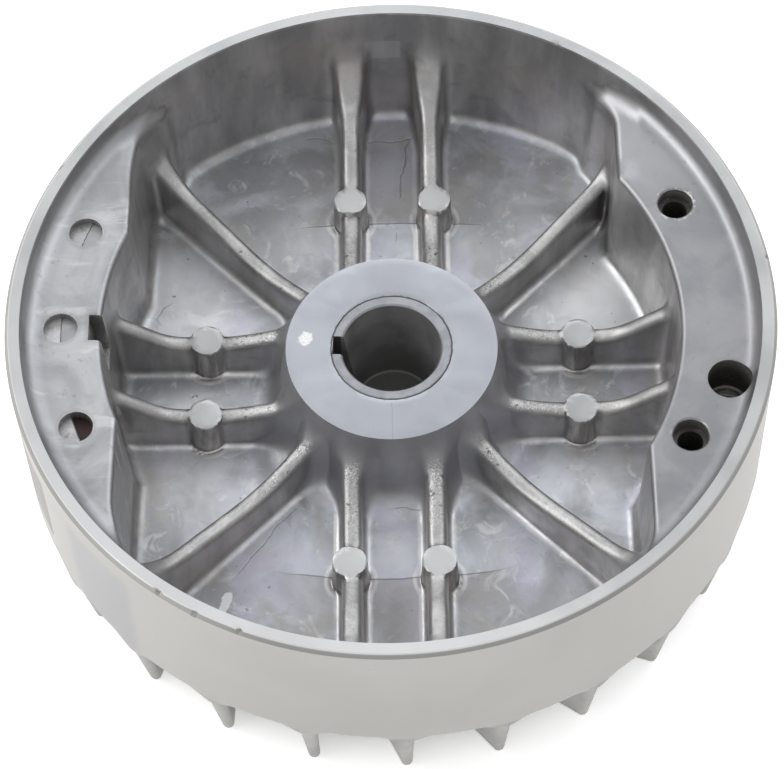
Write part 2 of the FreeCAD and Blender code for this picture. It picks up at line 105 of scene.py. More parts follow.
def chamfer_inter(a, b, c):
    """Intersection whose edge is cut at 45 degrees, c along each face."""
    return np.maximum(np.maximum(a, b), (a + b + c) * F32(0.70710678))


def ramp(v, lo, hi):
    t = np.clip((v - lo) / (hi - lo), 0.0, 1.0)
    return t * t * (3.0 - 2.0 * t)


def curve(points):
    """A smooth curve through points as a dense table: natural cubic spline."""
    p = np.array(points, dtype=float)
    x, y = p[:, 0], p[:, 1]
    n = len(x)
    h = np.diff(x)
    a = np.zeros((n, n))
    rhs = np.zeros(n)
    a[0, 0] = a[-1, -1] = 1.0
    for i in range(1, n - 1):
        a[i, i - 1], a[i, i], a[i, i + 1] = h[i - 1], 2 * (h[i - 1] + h[i]), h[i]
        rhs[i] = 6 * ((y[i + 1] - y[i]) / h[i] - (y[i] - y[i - 1]) / h[i - 1])
    m = np.linalg.solve(a, rhs)
    xs = np.linspace(x[0], x[-1], 240)
    k = np.clip(np.searchsorted(x, xs) - 1, 0, n - 2)
    d0, d1 = xs - x[k], x[k + 1] - xs
    ys = (m[k] * d1**3 + m[k + 1] * d0**3) / (6 * h[k]) + (y[k] / h[k] - m[k] * h[k] / 6) * d1 + (y[k + 1] / h[k] - m[k + 1] * h[k] / 6) * d0
    slope = np.gradient(ys, xs)
    return xs.astype(F32), ys.astype(F32), (1.0 / np.sqrt(1.0 + slope**2)).astype(F32)


def value_noise(x, y, z, seed):
    """Smooth lattice noise in -1..1, the same every run."""
    xi, yi, zi = np.floor(x).astype(np.int64), np.floor(y).astype(np.int64), np.floor(z).astype(np.int64)
    fx, fy, fz = x - xi, y - yi, z - zi
    fx, fy, fz = fx * fx * (3 - 2 * fx), fy * fy * (3 - 2 * fy), fz * fz * (3 - 2 * fz)

    def h(a, b, c):
        v = (a * 374761393 + b * 668265263 + c * 2147483647 + seed * 974634777) & 0xFFFFFFFF
        v = ((v ^ (v >> 13)) * 1274126177) & 0xFFFFFFFF
        v = v ^ (v >> 16)
        return (v & 0xFFFF).astype(F32) / F32(32767.5) - F32(1.0)

    c00 = h(xi, yi, zi) * (1 - fx) + h(xi + 1, yi, zi) * fx
    c10 = h(xi, yi + 1, zi) * (1 - fx) + h(xi + 1, yi + 1, zi) * fx
    c01 = h(xi, yi, zi + 1) * (1 - fx) + h(xi + 1, yi, zi + 1) * fx
    c11 = h(xi, yi + 1, zi + 1) * (1 - fx) + h(xi + 1, yi + 1, zi + 1) * fx
    return (c00 * (1 - fy) + c10 * fy) * (1 - fz) + (c01 * (1 - fy) + c11 * fy) * fz


# ------------------------------------------------------------------ the object's sizes, mm
RIM_R, RIM_TOP, WEB_TOP, WEB_FOOT = 90.0, 68.0, 28.0, 24.5
HUB_TOP, HUB_R, HUB_WAIST = 50.6, 25.3, 28.4
T = RIM_TOP
SAG = [(21.0, T - 22.5), (25.0, T - 25.2), (32.0, T - 28.0)]
LONG = curve(SAG + [(38.0, T - 29.9), (44.0, T - 30.9), (50.0, T - 31.0), (56.0, T - 29.9), (64.0, T - 27.2), (72.0, T - 25.4), (77.0, T - 23.0), (81.5, T - 18.8), (84.5, T - 14.5), (86.8, T - 10.5)])
DIAG = curve(SAG + [(38.0, T - 29.6), (44.0, T - 30.4), (50.0, T - 30.1), (56.0, T - 29.0), (64.0, T - 27.4), (70.0, T - 26.2), (75.0, T - 24.2), (79.5, T - 20.4), (83.0, T - 16.5), (86.0, T - 13.5)])
CROSS = curve(SAG + [(38.0, T - 29.4), (44.0, T - 30.0), (50.0, T - 29.6), (54.0, T - 28.6), (57.0, T - 26.7), (60.5, T - 23.8), (63.0, T - 21.8), (66.0, T - 19.4), (69.0, T - 17.4)])
POLES = (("leading", 200.3, 2.8), ("centre", 180.0, 2.0), ("trailing", 159.7, 2.0))
SCREWS = (25.0, -25.0)
BOSSES = [(-10.2, 51.1, 38.0), (10.8, 51.1, 38.0), (-10.5, -50.5, 38.0), (10.5, -50.5, 38.0)] + [(sx * 45.1, sy * 10.4, 38.7) for sx in (-1, 1) for sy in (-1, 1)]
# small knocks on the rim: azimuth, radius, height and size
KNOCKS = ((-125.5, 89.4, 67.6, 0.9), (-119.3, 89.7, 67.3, 1.2), (-112.2, 89.3, 67.8, 1.1), (-93.4, 90.3, 62.0, 0.7), (8.0, 89.6, 67.6, 0.9), (61.0, 86.6, 68.1, 0.8), (152.0, 89.6, 67.5, 1.0))
# land edges in plan: x of the straight part as a function of y
RIGHT_Y = np.array([-75.0, -67.0, -62.0, -56.5, -50.0, 0.0, 39.0, 58.6, 63.6, 67.2, 75.0], dtype=F32)
RIGHT_X = np.array([50.0, 54.6, 57.2, 58.9, 58.9, 58.8, 55.3, 55.3, 53.4, 50.6, 42.0], dtype=F32)
LEFT_Y = np.array([-75.0, -67.0, -54.0, -47.6, -32.0, 0.0, 36.0, 46.0, 54.0, 60.2, 66.0, 75.0], dtype=F32)
LEFT_X = np.array([56.0, 58.6, 62.2, 63.8, 63.6, 63.0, 62.4, 62.4, 61.6, 59.2, 55.6, 47.0], dtype=F32)


def eased(ys, xs, reach=3.2):
    """The same edge with its corners eased over a few millimetres."""
    y = np.linspace(-75.0, 75.0, 601)
    w = np.exp(-((np.arange(-40, 41) * 0.25 / reach) ** 2))
    x = np.interp(y, ys, xs)
    x = np.convolve(np.pad(x, 40, mode="edge"), w / w.sum(), mode="valid")
    return y.astype(F32), x.astype(F32)


RIGHT_Y, RIGHT_X = eased(RIGHT_Y, RIGHT_X, 2.2)
LEFT_Y, LEFT_X = eased(LEFT_Y, LEFT_X)


def rib(t, s, z, table, half, grow):
    """One straight rib: t across it, s along it from the hub axis."""
    xs, ys, cs = table
    top = np.interp(s, xs, ys).astype(F32)
    c = np.interp(s, xs, cs).astype(F32)
    h = half + np.maximum(38.0 - z, 0.0) * F32(0.03) + grow * ramp(s, 70.0, 88.0)
    side = (t - h) * F32(0.993)
    return round_inter(side, (z - top) * c, F32(1.85))


def casting(x, y, z):
    x, y, z = x.astype(F32), y.astype(F32), z.astype(F32)
    r = np.sqrt(x * x + y * y)
    th = np.degrees(np.arctan2(y, x)).astype(F32)
    ax, ay = np.abs(x), np.abs(y)
    # bowl: floor and drafted inner wall
    inner = F32(85.2) + (z - 28.0) * F32(0.0325)
    wall = inner - r
    floor = z - F32(WEB_TOP)
    # hub
    hub_side = (r - (HUB_WAIST + (z - 28.0) * F32((HUB_R - HUB_WAIST) / 22.6))) * F32(0.991)
    hub = round_inter(hub_side, z - F32(HUB_TOP), F32(0.3))
    # lands left and right
    xr = np.interp(y, RIGHT_Y, RIGHT_X).astype(F32)
    xl = np.interp(y, LEFT_Y, LEFT_X).astype(F32)
    d_right = np.maximum(F32(68.1) - r, xr - x)
    d_left = np.maximum(F32(68.1) - r, xl + x)
    # both lands thin out to nothing at their upper tips
    fade = np.where(x > 0, ramp(y, 64.0, 72.0), ramp(y, 62.0, 70.0)) * F32(8.0)
    plan = np.minimum(d_right, d_left) - (62.0 - z) * F32(0.0437) + fade
    # the upper ends of both lands roll down towards their inner border
    roll = np.where(x > 0, ramp(y, 38.0, 47.0) * np.maximum(61.2 - x, 0.0), ramp(y, 34.0, 42.0) * np.maximum(65.2 + x, 0.0)) * F32(0.27)
    land = round_inter(plan, (z - (62.0 - roll)) * F32(0.985), F32(1.4))
    kz = 8.0 - 3.6 * ramp(z, 57.0, 61.0)
    body = round_union(wall, land, kz.astype(F32))
    body = round_union(body, floor, F32(3.0))
    body = round_union(body, hub, F32(7.5))
    # ribs: long pairs, cross pairs, diagonals
    r_long = rib(np.abs(ax - 10.0), ay, z, LONG, F32(2.3), F32(2.0))
    r_cross = rib(np.abs(ay - 10.2), ax, z, CROSS, F32(2.1), F32(0.6))
    u, v = (ax + ay) * F32(0.70710678), (ax - ay) * F32(0.70710678)
    r_diag = rib(np.abs(v), u, z, DIAG, F32(2.1), F32(1.2))
    ribs = round_union(round_union(r_long, r_diag, F32(3.0)), r_cross, F32(3.0))
    kr = 1.7 + 3.4 * ramp(r, 37.0, 27.0) + (0.6 + 2.2 * ramp(ax, 16.0, 24.0)) * ramp(r, 75.0, 84.0)
    body = round_union(body, ribs, kr.astype(F32))
    # ejector bosses
    for bx, by, zt in BOSSES:
        q = np.sqrt((x - bx) ** 2 + (y - by) ** 2)
        boss = chamfer_inter((q - (4.1 + (zt - z) * F32(0.03))) * F32(0.999), z - F32(zt), F32(0.3))
        body = round_union(body, boss, F32(0.5))
    # rim outside, top and foot
    outer = chamfer_inter(r - F32(RIM_R), z - F32(RIM_TOP), F32(1.0))
    outer = np.maximum(outer, round_inter(r - F32(RIM_R), F32(WEB_FOOT) - z, F32(1.6)))
    body = np.maximum(body, outer)
    edge = (r > 84.0) & (z > 58.0)
    if edge.any():
        xx, yy, zz = x[edge], y[edge], z[edge]
        q = np.full(xx.shape, 99.0, dtype=F32)
        for az, kr_, kz_, size in KNOCKS:
            cx, cy = kr_ * math.cos(math.radians(az)), kr_ * math.sin(math.radians(az))
            q = np.minimum(q, np.sqrt((xx - cx) ** 2 + (yy - cy) ** 2 + (zz - kz_) ** 2) - F32(size * 0.62))
        body[edge] = round_inter(body[edge], -q, F32(0.2))
    # back boss and nut recess
    bb = round_inter((r - (26.5 - (24.5 - z) * F32(0.385))) * F32(0.933), F32(18.0) - z, F32(0.8))
    bb = np.maximum(bb, z - 27.0)
    body = round_union(body, bb, F32(2.5))
    # fan blades
    low = z < 29.0
    if low.any():
        zl, rl, tl = z[low], r[low], th[low]
        f = np.clip((25.1 - zl) / 25.1, -0.2, 1.0)
        tip = 87.6 - 3.0 * f
        half = 2.25 - 0.9 * f
        length = 33.0 - 0.3 * f
        c25, s25 = F32(math.cos(math.radians(25.0))), F32(math.sin(math.radians(25.0)))
        # angle of the blade's centre line at this radius, relative to its tip
        rc = np.clip(rl, 50.0, 88.0)
        run = tip * c25 - np.sqrt(np.maximum(rc * rc - (tip * s25) ** 2, 0.0))
        off = -np.degrees(np.arctan2(run * s25, tip - run * c25))
        k = np.round((tl - off + 88.8) / 15.0)
        a = np.radians(tl - (-88.8 + 15.0 * k)).astype(F32)
        px, py = rl * np.cos(a), rl * np.sin(a)
        along = (tip - px) * c25 - py * s25
        across = -(tip - px) * s25 - py * c25
        q = np.sqrt((along - np.clip(along, 0.0, length)) ** 2 + across**2) - half
        blade = round_inter(q * F32(0.998), -zl, F32(1.25))
        blade = np.maximum(blade, zl - 24.7)
        body[low] = np.maximum(round_union(body[low], blade, (3.1 + 1.1 * ramp(rl, 78.0, 86.0)).astype(F32)), rl - F32(RIM_R))
    # socket of the steel insert, with the slight groove round its neck
    socket = np.maximum(r - F32(14.4), F32(45.6) - z)
    socket = np.minimum(socket, np.maximum(np.maximum(r - F32(18.0), z - F32(45.6)), F32(23.3) - z))
    socket = np.minimum(socket, np.maximum(r - F32(17.3), z - F32(24.0)))
    socket = np.minimum(socket, (r - 14.4 + (50.6 - z) - 0.22) * F32(0.707))
    body = np.maximum(body, -socket)
    # magnet group: pockets of the shoes, magnets and keeper, windows and notch
    left = (x < -60.0) & (z > 33.0)
    if left.any():
        xx, yy, zz, rr = x[left], y[left], z[left], r[left]
        tt = np.where(th[left] < 0, th[left] + 360.0, th[left])
        hole = np.full(xx.shape, 99.0, dtype=F32)
        for _, ang, deep in POLES:
            da = (np.abs(tt - ang) - 6.5) * F32(math.pi / 180.0) * rr
            hole = np.minimum(hole, np.maximum(np.maximum(da, F32(77.6) - rr), np.abs(zz - 47.2) - 12.8))
            hole = np.minimum(hole, np.maximum(np.maximum(da, np.abs(rr - 75.2) - 2.4), np.abs(zz - 46.8) - 12.4))
            cx, cy = 77.6 * math.cos(math.radians(ang)), 77.6 * math.sin(math.radians(ang))
            q = np.sqrt((xx - cx) ** 2 + (yy - cy) ** 2) - F32(4.0)
            hole = np.minimum(hole, np.maximum(q, F32(62.0 - deep) - zz))
        hole = np.minimum(hole, np.maximum(np.maximum((np.abs(tt - 180.0) - 23.5) * F32(math.pi / 180.0) * rr, np.abs(rr - 71.7) - 1.1), np.abs(zz - 46.8) - 11.8))
        notch = np.maximum(np.maximum(np.abs(xx + 67.8) - 3.2, np.abs(yy) - 3.5), F32(48.0) - zz)
        hole = np.minimum(hole, notch)
        body[left] = np.maximum(body[left], -hole)
    # drilled and counterbored holes of the right land
    rt = (x > 60.0) & (z > 34.0) & (ay < 40.0)
    if rt.any():
        xx, yy, zz = x[rt], y[rt], z[rt]
        hole = np.full(xx.shape, 99.0, dtype=F32)
        for ang in SCREWS:
            cx, cy = 75.7 * math.cos(math.radians(ang)), 75.7 * math.sin(math.radians(ang))
            q = np.sqrt((xx - cx) ** 2 + (yy - cy) ** 2)
            hole = np.minimum(hole, np.maximum(q - F32(4.1), F32(58.3) - zz))
            hole = np.minimum(hole, np.maximum(q - F32(3.0), F32(38.0) - zz))
            hole = np.minimum(hole, (q - 4.1 + (62.0 - zz) - 0.35) * F32(0.707))
        cx, cy = 80.3 * math.cos(math.radians(-12.5)), 80.3 * math.sin(math.radians(-12.5))
        q = np.sqrt((xx - cx) ** 2 + (yy - cy) ** 2)
        hole = np.minimum(hole, np.maximum(q - F32(5.1), F32(48.0) + q * 0.5 - zz))
        body[rt] = np.maximum(body[rt], -hole)
    return body


def insert(x, y, z):
    x, y, z = x.astype(F32), y.astype(F32), z.astype(F32)
    r = np.sqrt(x * x + y * y)
    th = np.degrees(np.arctan2(y, x)).astype(F32)
    neck = np.maximum(chamfer_inter(r - F32(14.4), z - F32(HUB_TOP), F32(0.18)), 23.3 - z)
    big = chamfer_inter(chamfer_inter(r - F32(18.0), z - F32(45.6), F32(1.0)), 23.3 - z, F32(1.0))
    body = np.minimum(neck, big)
    # grip slots under the casting
    a = np.radians((th + 30.0) % 60.0 - 30.0)
    q = np.abs(r * np.sin(a)) - F32(2.5)
    slot = np.maximum(np.maximum(q, F32(16.2) - r * np.cos(a)), z - F32(38.3))
    body = np.maximum(body, -slot)
    taper = (r - (9.2 + (z - 23.3) * F32(0.1))) * F32(0.995)
    bore = np.minimum(taper, (r - 11.93 + (50.6 - z) - 0.35) * F32(0.707))
    bore = np.minimum(bore, (r - 9.2 + (z - 23.3) - 0.5) * F32(0.707))
    ka = math.radians(176.3)
    kx, ky = x * math.cos(ka) + y * math.sin(ka), -x * math.sin(ka) + y * math.cos(ka)
    key = np.maximum(np.maximum(kx - F32(14.05), -kx), np.abs(ky) - F32(2.5))
    bore = np.minimum(bore, key)
    return np.maximum(body, -bore)


# ------------------------------------------------------------------ meshing a field on a cylindrical grid
def lines(*parts):
    """Grid lines from (start, stop, step) runs that join end to end."""
    out = [parts[0][0]]
    for a, b, step in parts:
        n = max(1, int(round((b - a) / step)))
        out.extend(a + (b - a) * (i + 1) / n for i in range(n))
    return np.array(out)


def gradient(field, x, y, z, h=0.02):
    gx = field(x + h, y, z) - field(x - h, y, z)
    gy = field(x, y + h, z) - field(x, y - h, z)
    gz = field(x, y, z + h) - field(x, y, z - h)
    n = np.sqrt(gx * gx + gy * gy + gz * gz) + 1e-12
    return gx / n, gy / n, gz / n


def mesh_field(field, rs, ts, zs):
    """Dual contouring: one vertex in each cell that the surface crosses, placed on edges and corners."""
    nt, nr, nz = len(ts), len(rs), len(zs)
    vals = np.empty((nt, nr, nz), dtype=F32)
    R, Z = np.meshgrid(rs, zs, indexing="ij")
    step = 24
    for j in range(0, nt, step):
        t = ts[j : j + step, None, None]
        xx = R[None] * np.cos(t)
        yy = R[None] * np.sin(t)
        zz = np.broadcast_to(Z[None], xx.shape)
        vals[j : j + step] = field(xx, yy, zz)
    neg = vals < 0
    span = np.append(ts[1:], ts[0] + 2 * math.pi)
    jn = (np.arange(nt) + 1) % nt
    jp = (np.arange(nt) - 1) % nt
    mr, mz = nr - 1, nz - 1

    def cell(j, i, k):
        return (j.astype(np.int64) * mr + i) * mz + k

    faces, pts = [], []
    for axis in range(3):
        if axis == 0:
            j, i, k = np.nonzero(neg[:, :-1, :] != neg[:, 1:, :])
            v0, v1 = vals[j, i, k], vals[j, i + 1, k]
            a0, a1 = rs[i], rs[i + 1]
            quad = [cell(jp[j], i, k - 1), cell(j, i, k - 1), cell(j, i, k), cell(jp[j], i, k)]
        elif axis == 1:
            j, i, k = np.nonzero(neg != neg[jn])
            v0, v1 = vals[j, i, k], vals[jn[j], i, k]
            a0, a1 = ts[j], span[j]
            quad = [cell(j, i - 1, k - 1), cell(j, i - 1, k), cell(j, i, k), cell(j, i, k - 1)]
        else:
            j, i, k = np.nonzero(neg[:, :, :-1] != neg[:, :, 1:])
            v0, v1 = vals[j, i, k], vals[j, i, k + 1]
            a0, a1 = zs[k], zs[k + 1]
            quad = [cell(jp[j], i - 1, k), cell(jp[j], i, k), cell(j, i, k), cell(j, i - 1, k)]

        def at(u, axis=axis, j=j, i=i, k=k):
            rr = u if axis == 0 else rs[i]
            tt = u if axis == 1 else ts[j]
            z3 = u if axis == 2 else zs[k]
            return rr * np.cos(tt), rr * np.sin(tt), z3 + np.zeros_like(u)

        lo, hi, flo, fhi = a0.copy(), a1.copy(), v0.astype(float), v1.astype(float)
        for n in range(5):
            if n % 2 == 0:
                u = lo + (hi - lo) * np.clip(flo / (flo - fhi + 1e-20), 0.02, 0.98)
            else:
                u = 0.5 * (lo + hi)
            fu = field(*at(u)).astype(float)
            same = (fu < 0) == (flo < 0)
            lo, flo = np.where(same, u, lo), np.where(same, fu, flo)
            hi, fhi = np.where(same, hi, u), np.where(same, fhi, fu)
        u = lo + (hi - lo) * np.clip(flo / (flo - fhi + 1e-20), 0.0, 1.0)
        px, py, pz = at(u)
        q = np.stack(quad, 1)
        flip = v0 >= 0
        q[flip] = q[flip][:, ::-1]
        faces.append(q)
        pts.append(np.stack([px, py, pz], 1))
    quads = np.concatenate(faces)
    p = np.concatenate(pts)
    n = np.stack(gradient(field, p[:, 0], p[:, 1], p[:, 2]), 1).astype(float)
    ids, inv = np.unique(quads.ravel(), return_inverse=True)
    quads = inv.reshape(-1, 4)
    m = len(ids)
    flat = quads.ravel()
    rep = np.repeat(np.arange(len(p)), 4)
    cnt = np.bincount(flat, minlength=m).astype(float)
    mean = np.stack([np.bincount(flat, p[rep, a], minlength=m) / cnt for a in range(3)], 1)
    d = p[rep] - mean[flat]
    nn = n[rep]
    nd = (nn * d).sum(1)
    A = np.zeros((m, 3, 3))
    for a in range(3):
        for b in range(a, 3):
            A[:, a, b] = A[:, b, a] = np.bincount(flat, nn[:, a] * nn[:, b], minlength=m) / cnt
        A[:, a, a] += 0.02
    rhs = np.stack([np.bincount(flat, nn[:, a] * nd, minlength=m) / cnt for a in range(3)], 1)
    v = mean + np.linalg.solve(A, rhs[:, :, None])[:, :, 0]
    # keep each vertex in its cell
    ck = ids % mz
    ci = (ids // mz) % mr
    cj = ids // (mz * mr)
    vr = np.hypot(v[:, 0], v[:, 1])
    vt = np.arctan2(v[:, 1], v[:, 0])
    mid = 0.5 * (ts[cj] + span[cj])
    vt = mid + (vt - mid + math.pi) % (2 * math.pi) - math.pi
    vr = np.clip(vr, rs[ci], rs[ci + 1])
    vt = np.clip(vt, ts[cj], span[cj])
    vz = np.clip(v[:, 2], zs[ck], zs[ck + 1])
    v = np.stack([vr * np.cos(vt), vr * np.sin(vt), vz], 1)
    # settle the vertices onto the surface, except on edges and corners
    for _ in range(2):
        g = np.stack(gradient(field, v[:, 0], v[:, 1], v[:, 2], 0.03), 1)
        f0 = field(v[:, 0], v[:, 1], v[:, 2]).astype(float)
        v = v - g * np.clip(f0, -0.25, 0.25)[:, None]
    return v, quads


def smooth_object(name, verts, quads, sharp_deg=34.0):
    """A Blender mesh in metres, smooth shaded with its hard edges marked."""
    me = bpy.data.meshes.new(name)
    me.vertices.add(len(verts))
    me.vertices.foreach_set("co", (verts * 0.001).astype(F32).ravel())
    me.loops.add(quads.size)
    me.loops.foreach_set("vertex_index", quads.astype(np.int32).ravel())
    me.polygons.add(len(quads))
    me.polygons.foreach_set("loop_start", np.arange(0, quads.size, 4, dtype=np.int32))
    me.polygons.foreach_set("loop_total", np.full(len(quads), 4, dtype=np.int32))
    me.update(calc_edges=True)
    me.polygons.foreach_set("use_smooth", np.ones(len(quads), dtype=bool))
    # face normals from the diagonals, then the angle across every edge
    a = verts[quads[:, 2]] - verts[quads[:, 0]]
    b = verts[quads[:, 3]] - verts[quads[:, 1]]
    fn = np.cross(a, b)
    fn /= np.linalg.norm(fn, axis=1)[:, None] + 1e-20
    loop_edge = np.empty(quads.size, dtype=np.int32)
    me.loops.foreach_get("edge_index", loop_edge)
    face_of = np.repeat(np.arange(len(quads)), 4)
    order = np.argsort(loop_edge, kind="stable")
    le, lf = loop_edge[order], face_of[order]
    same = np.nonzero(le[1:] == le[:-1])[0]
    cosang = (fn[lf[same]] * fn[lf[same + 1]]).sum(1)
    sharp = np.zeros(len(me.edges), dtype=bool)
    sharp[le[same][cosang < math.cos(math.radians(sharp_deg))]] = True
    counts = np.bincount(loop_edge, minlength=len(me.edges))
    sharp[counts != 2] = True
    at = me.attributes.new("sharp_edge", "BOOLEAN", "EDGE")
    at.data.foreach_set("value", sharp)
    ob = bpy.data.objects.new(name, me)
    scene.collection.objects.link(ob)
    print(name, len(verts), "vertices", len(quads), "faces", int((counts != 2).sum()), "edges without two faces", int(sharp.sum()), "hard edges")
    return ob, fn


COARSE = 1.22


def turn_lines():
    """Angles in radians: an even step, finer round the holes of the two lands."""
    out = []
    a = -180.0
    fine = [(-25.0, 4.0), (-12.5, 4.6), (25.0, 4.0), (159.7, 4.0), (200.3 - 360.0, 4.0), (180.0, 4.2), (-180.0, 4.2)]
    while a < 180.0 - 0.2:
        out.append(a)
        near = any(abs(a - c) < w for c, w in fine)
        a += (0.34 if near else 0.56) * COARSE
    return np.radians(np.array(out) + 0.07)


t_start = time.time()
K = COARSE
rs = lines((13.3, 15.3, 0.4 * K), (15.3, 23.9, 1.0 * K), (23.9, 30.0, 0.62 * K), (30.0, 67.0, 0.92 * K), (67.0, 85.7, 0.62 * K), (85.7, 90.6, 0.49 * K))
zs = lines((-0.9, 2.1, 0.6 * K), (2.1, 23.0, 1.5 * K), (23.0, 30.3, 0.6 * K), (30.3, 49.6, 0.78 * K), (49.6, 51.2, 0.4 * K), (51.2, 57.7, 1.2 * K), (57.7, 62.6, 0.52 * K), (62.6, 66.4, 1.2 * K), (66.4, 68.4, 0.38 * K))
verts, quads = mesh_field(casting, rs, turn_lines(), zs)
cast_ob, cast_fn = smooth_object("casting_surface", verts, quads)
print("casting meshed in", round(time.time() - t_start, 1), "s; grid", len(rs), len(turn_lines()), len(zs))
t1 = time.time()
rs2 = lines((8.7, 15.0, 0.3 * K), (15.0, 18.5, 0.5 * K))
zs2 = lines((22.9, 24.8, 0.31 * K), (24.8, 45.0, 1.0 * K), (45.0, 49.6, 0.7 * K), (49.6, 51.1, 0.27 * K))
ts2 = np.radians(np.arange(-180.0, 180.0 - 0.1, 1.0 * K) + 0.21)
iv, iq = mesh_field(insert, rs2, ts2, zs2)
insert_ob, insert_fn = smooth_object("insert_surface", iv, iq)
print("insert meshed in", round(time.time() - t1, 1), "s")
# ------------------------------------------------------------------ surface regions, wear masks and masks for painted light and shade
def vertex_masks(ob, field, verts, reach_in=1.1, reach_out=2.4):
    """Hollowness and edge wear at every vertex, read from the field itself, and how far the surface faces up."""
    n = np.stack(gradient(field, verts[:, 0], verts[:, 1], verts[:, 2], 0.05), 1)
    outp = verts + n * reach_out
    inp = verts - n * reach_in
    hollow = np.clip(1.0 - field(outp[:, 0], outp[:, 1], outp[:, 2]) / reach_out, 0.0, 1.0)
    edge = np.clip(1.0 + field(inp[:, 0], inp[:, 1], inp[:, 2]) / reach_in, 0.0, 1.0)
    for name, val in (("hollow", hollow), ("edge", edge), ("facing_up", n[:, 2])):
        at = ob.data.attributes.new(name, "FLOAT", "POINT")
        at.data.foreach_set("value", val.astype(F32))
    return n


class Graph:
    """Small helper that builds a node material."""

    def __init__(self, name):
        self.mat = bpy.data.materials.new(name)
        self.mat.use_nodes = True
        self.t = self.mat.node_tree
        self.b = self.t.nodes["Principled BSDF"]
        co = self.t.nodes.new("ShaderNodeTexCoord")
        self.pos = co.outputs["Object"]

    def link(self, a, b):
        self.t.links.new(a, b)

    def put(self, socket, value):
        if hasattr(value, "is_output"):
            self.link(value, socket)
        else:
            socket.default_value = value

    def attr(self, name):
        n = self.t.nodes.new("ShaderNodeAttribute")
        n.attribute_name = name
        return n.outputs["Fac"]

    def math(self, op, a, b=0.0, c=0.0, clamp=False):
        n = self.t.nodes.new("ShaderNodeMath")
        n.operation = op
        n.use_clamp = clamp
        for s, v in zip(n.inputs, (a, b, c)):
            self.put(s, v)
        return n.outputs[0]

    def noise(self, scale, detail=3.0, rough=0.55, distort=0.0, vec=None, stretch=None):
        n = self.t.nodes.new("ShaderNodeTexNoise")
        n.inputs["Scale"].default_value = scale
        n.inputs["Detail"].default_value = detail
        n.inputs["Roughness"].default_value = rough
        n.inputs["Distortion"].default_value = distort
        v = vec or self.pos
        if stretch:
            m = self.t.nodes.new("ShaderNodeMapping")
            m.inputs["Scale"].default_value = stretch
            self.link(v, m.inputs["Vector"])
            v = m.outputs[0]
        self.link(v, n.inputs["Vector"])
        return n.outputs["Fac"]

    def cracks(self, scale, width, seed=(0.0, 0.0, 0.0), warp=0.02):
        """Thin lines along the borders of large cells, bent by noise."""
        w = self.t.nodes.new("ShaderNodeTexNoise")
        w.inputs["Scale"].default_value = scale * 2.2
        w.inputs["Detail"].default_value = 4.0
        m = self.t.nodes.new("ShaderNodeMapping")
        m.inputs["Location"].default_value = seed
        self.link(self.pos, m.inputs["Vector"])
        self.link(m.outputs[0], w.inputs["Vector"])
        sc = self.t.nodes.new("ShaderNodeVectorMath")
        sc.operation = "SCALE"
        sc.inputs["Scale"].default_value = warp
        self.link(w.outputs["Color"], sc.inputs[0])
        add = self.t.nodes.new("ShaderNodeVectorMath")
        add.operation = "ADD"
        self.link(m.outputs[0], add.inputs[0])
        self.link(sc.outputs[0], add.inputs[1])
        v = self.t.nodes.new("ShaderNodeTexVoronoi")
        v.feature = "DISTANCE_TO_EDGE"
        v.inputs["Scale"].default_value = scale
        self.link(add.outputs[0], v.inputs["Vector"])
        return self.span(v.outputs["Distance"], width, 0.0)

    def span(self, v, lo, hi, out_lo=0.0, out_hi=1.0, smooth=True):
        n = self.t.nodes.new("ShaderNodeMapRange")
        n.interpolation_type = "SMOOTHSTEP" if smooth else "LINEAR"
        n.clamp = True
        self.put(n.inputs["Value"], v)
        n.inputs["From Min"].default_value = lo
        n.inputs["From Max"].default_value = hi
        n.inputs["To Min"].default_value = out_lo
        n.inputs["To Max"].default_value = out_hi
        return n.outputs["Result"]

    def mix(self, a, b, fac, blend="MIX"):
        n = self.t.nodes.new("ShaderNodeMix")
        n.data_type = "RGBA"
        n.blend_type = blend
        self.put(n.inputs[0], fac)
        for s, v in ((n.inputs[6], a), (n.inputs[7], b)):
            self.put(s, v if hasattr(v, "is_output") else (*v, 1.0))
        return n.outputs[2]

    def bump(self, height, strength, dist, before=None):
        n = self.t.nodes.new("ShaderNodeBump")
        n.inputs["Strength"].default_value = strength
        n.inputs["Distance"].default_value = dist
        self.link(height, n.inputs["Height"])
        if before is not None:
            self.link(before, n.inputs["Normal"])
        return n.outputs[0]

    def xyz(self):
        n = self.t.nodes.new("ShaderNodeSeparateXYZ")
        self.link(self.pos, n.inputs[0])
        return n.outputs

    def radius(self, cx=0.0, cy=0.0):
        x, y, _ = self.xyz()
        dx, dy = self.math("SUBTRACT", x, cx), self.math("SUBTRACT", y, cy)
        return self.math("SQRT", self.math("ADD", self.math("MULTIPLY", dx, dx), self.math("MULTIPLY", dy, dy)))

    def done(self, color, rough, metal, normal=None):
        self.put(self.b.inputs["Base Color"], color if hasattr(color, "is_output") else (*color, 1.0))
        self.put(self.b.inputs["Roughness"], rough)
        self.put(self.b.inputs["Metallic"], metal)
        if normal is not None:
            self.link(normal, self.b.inputs["Normal"])
        return self.mat


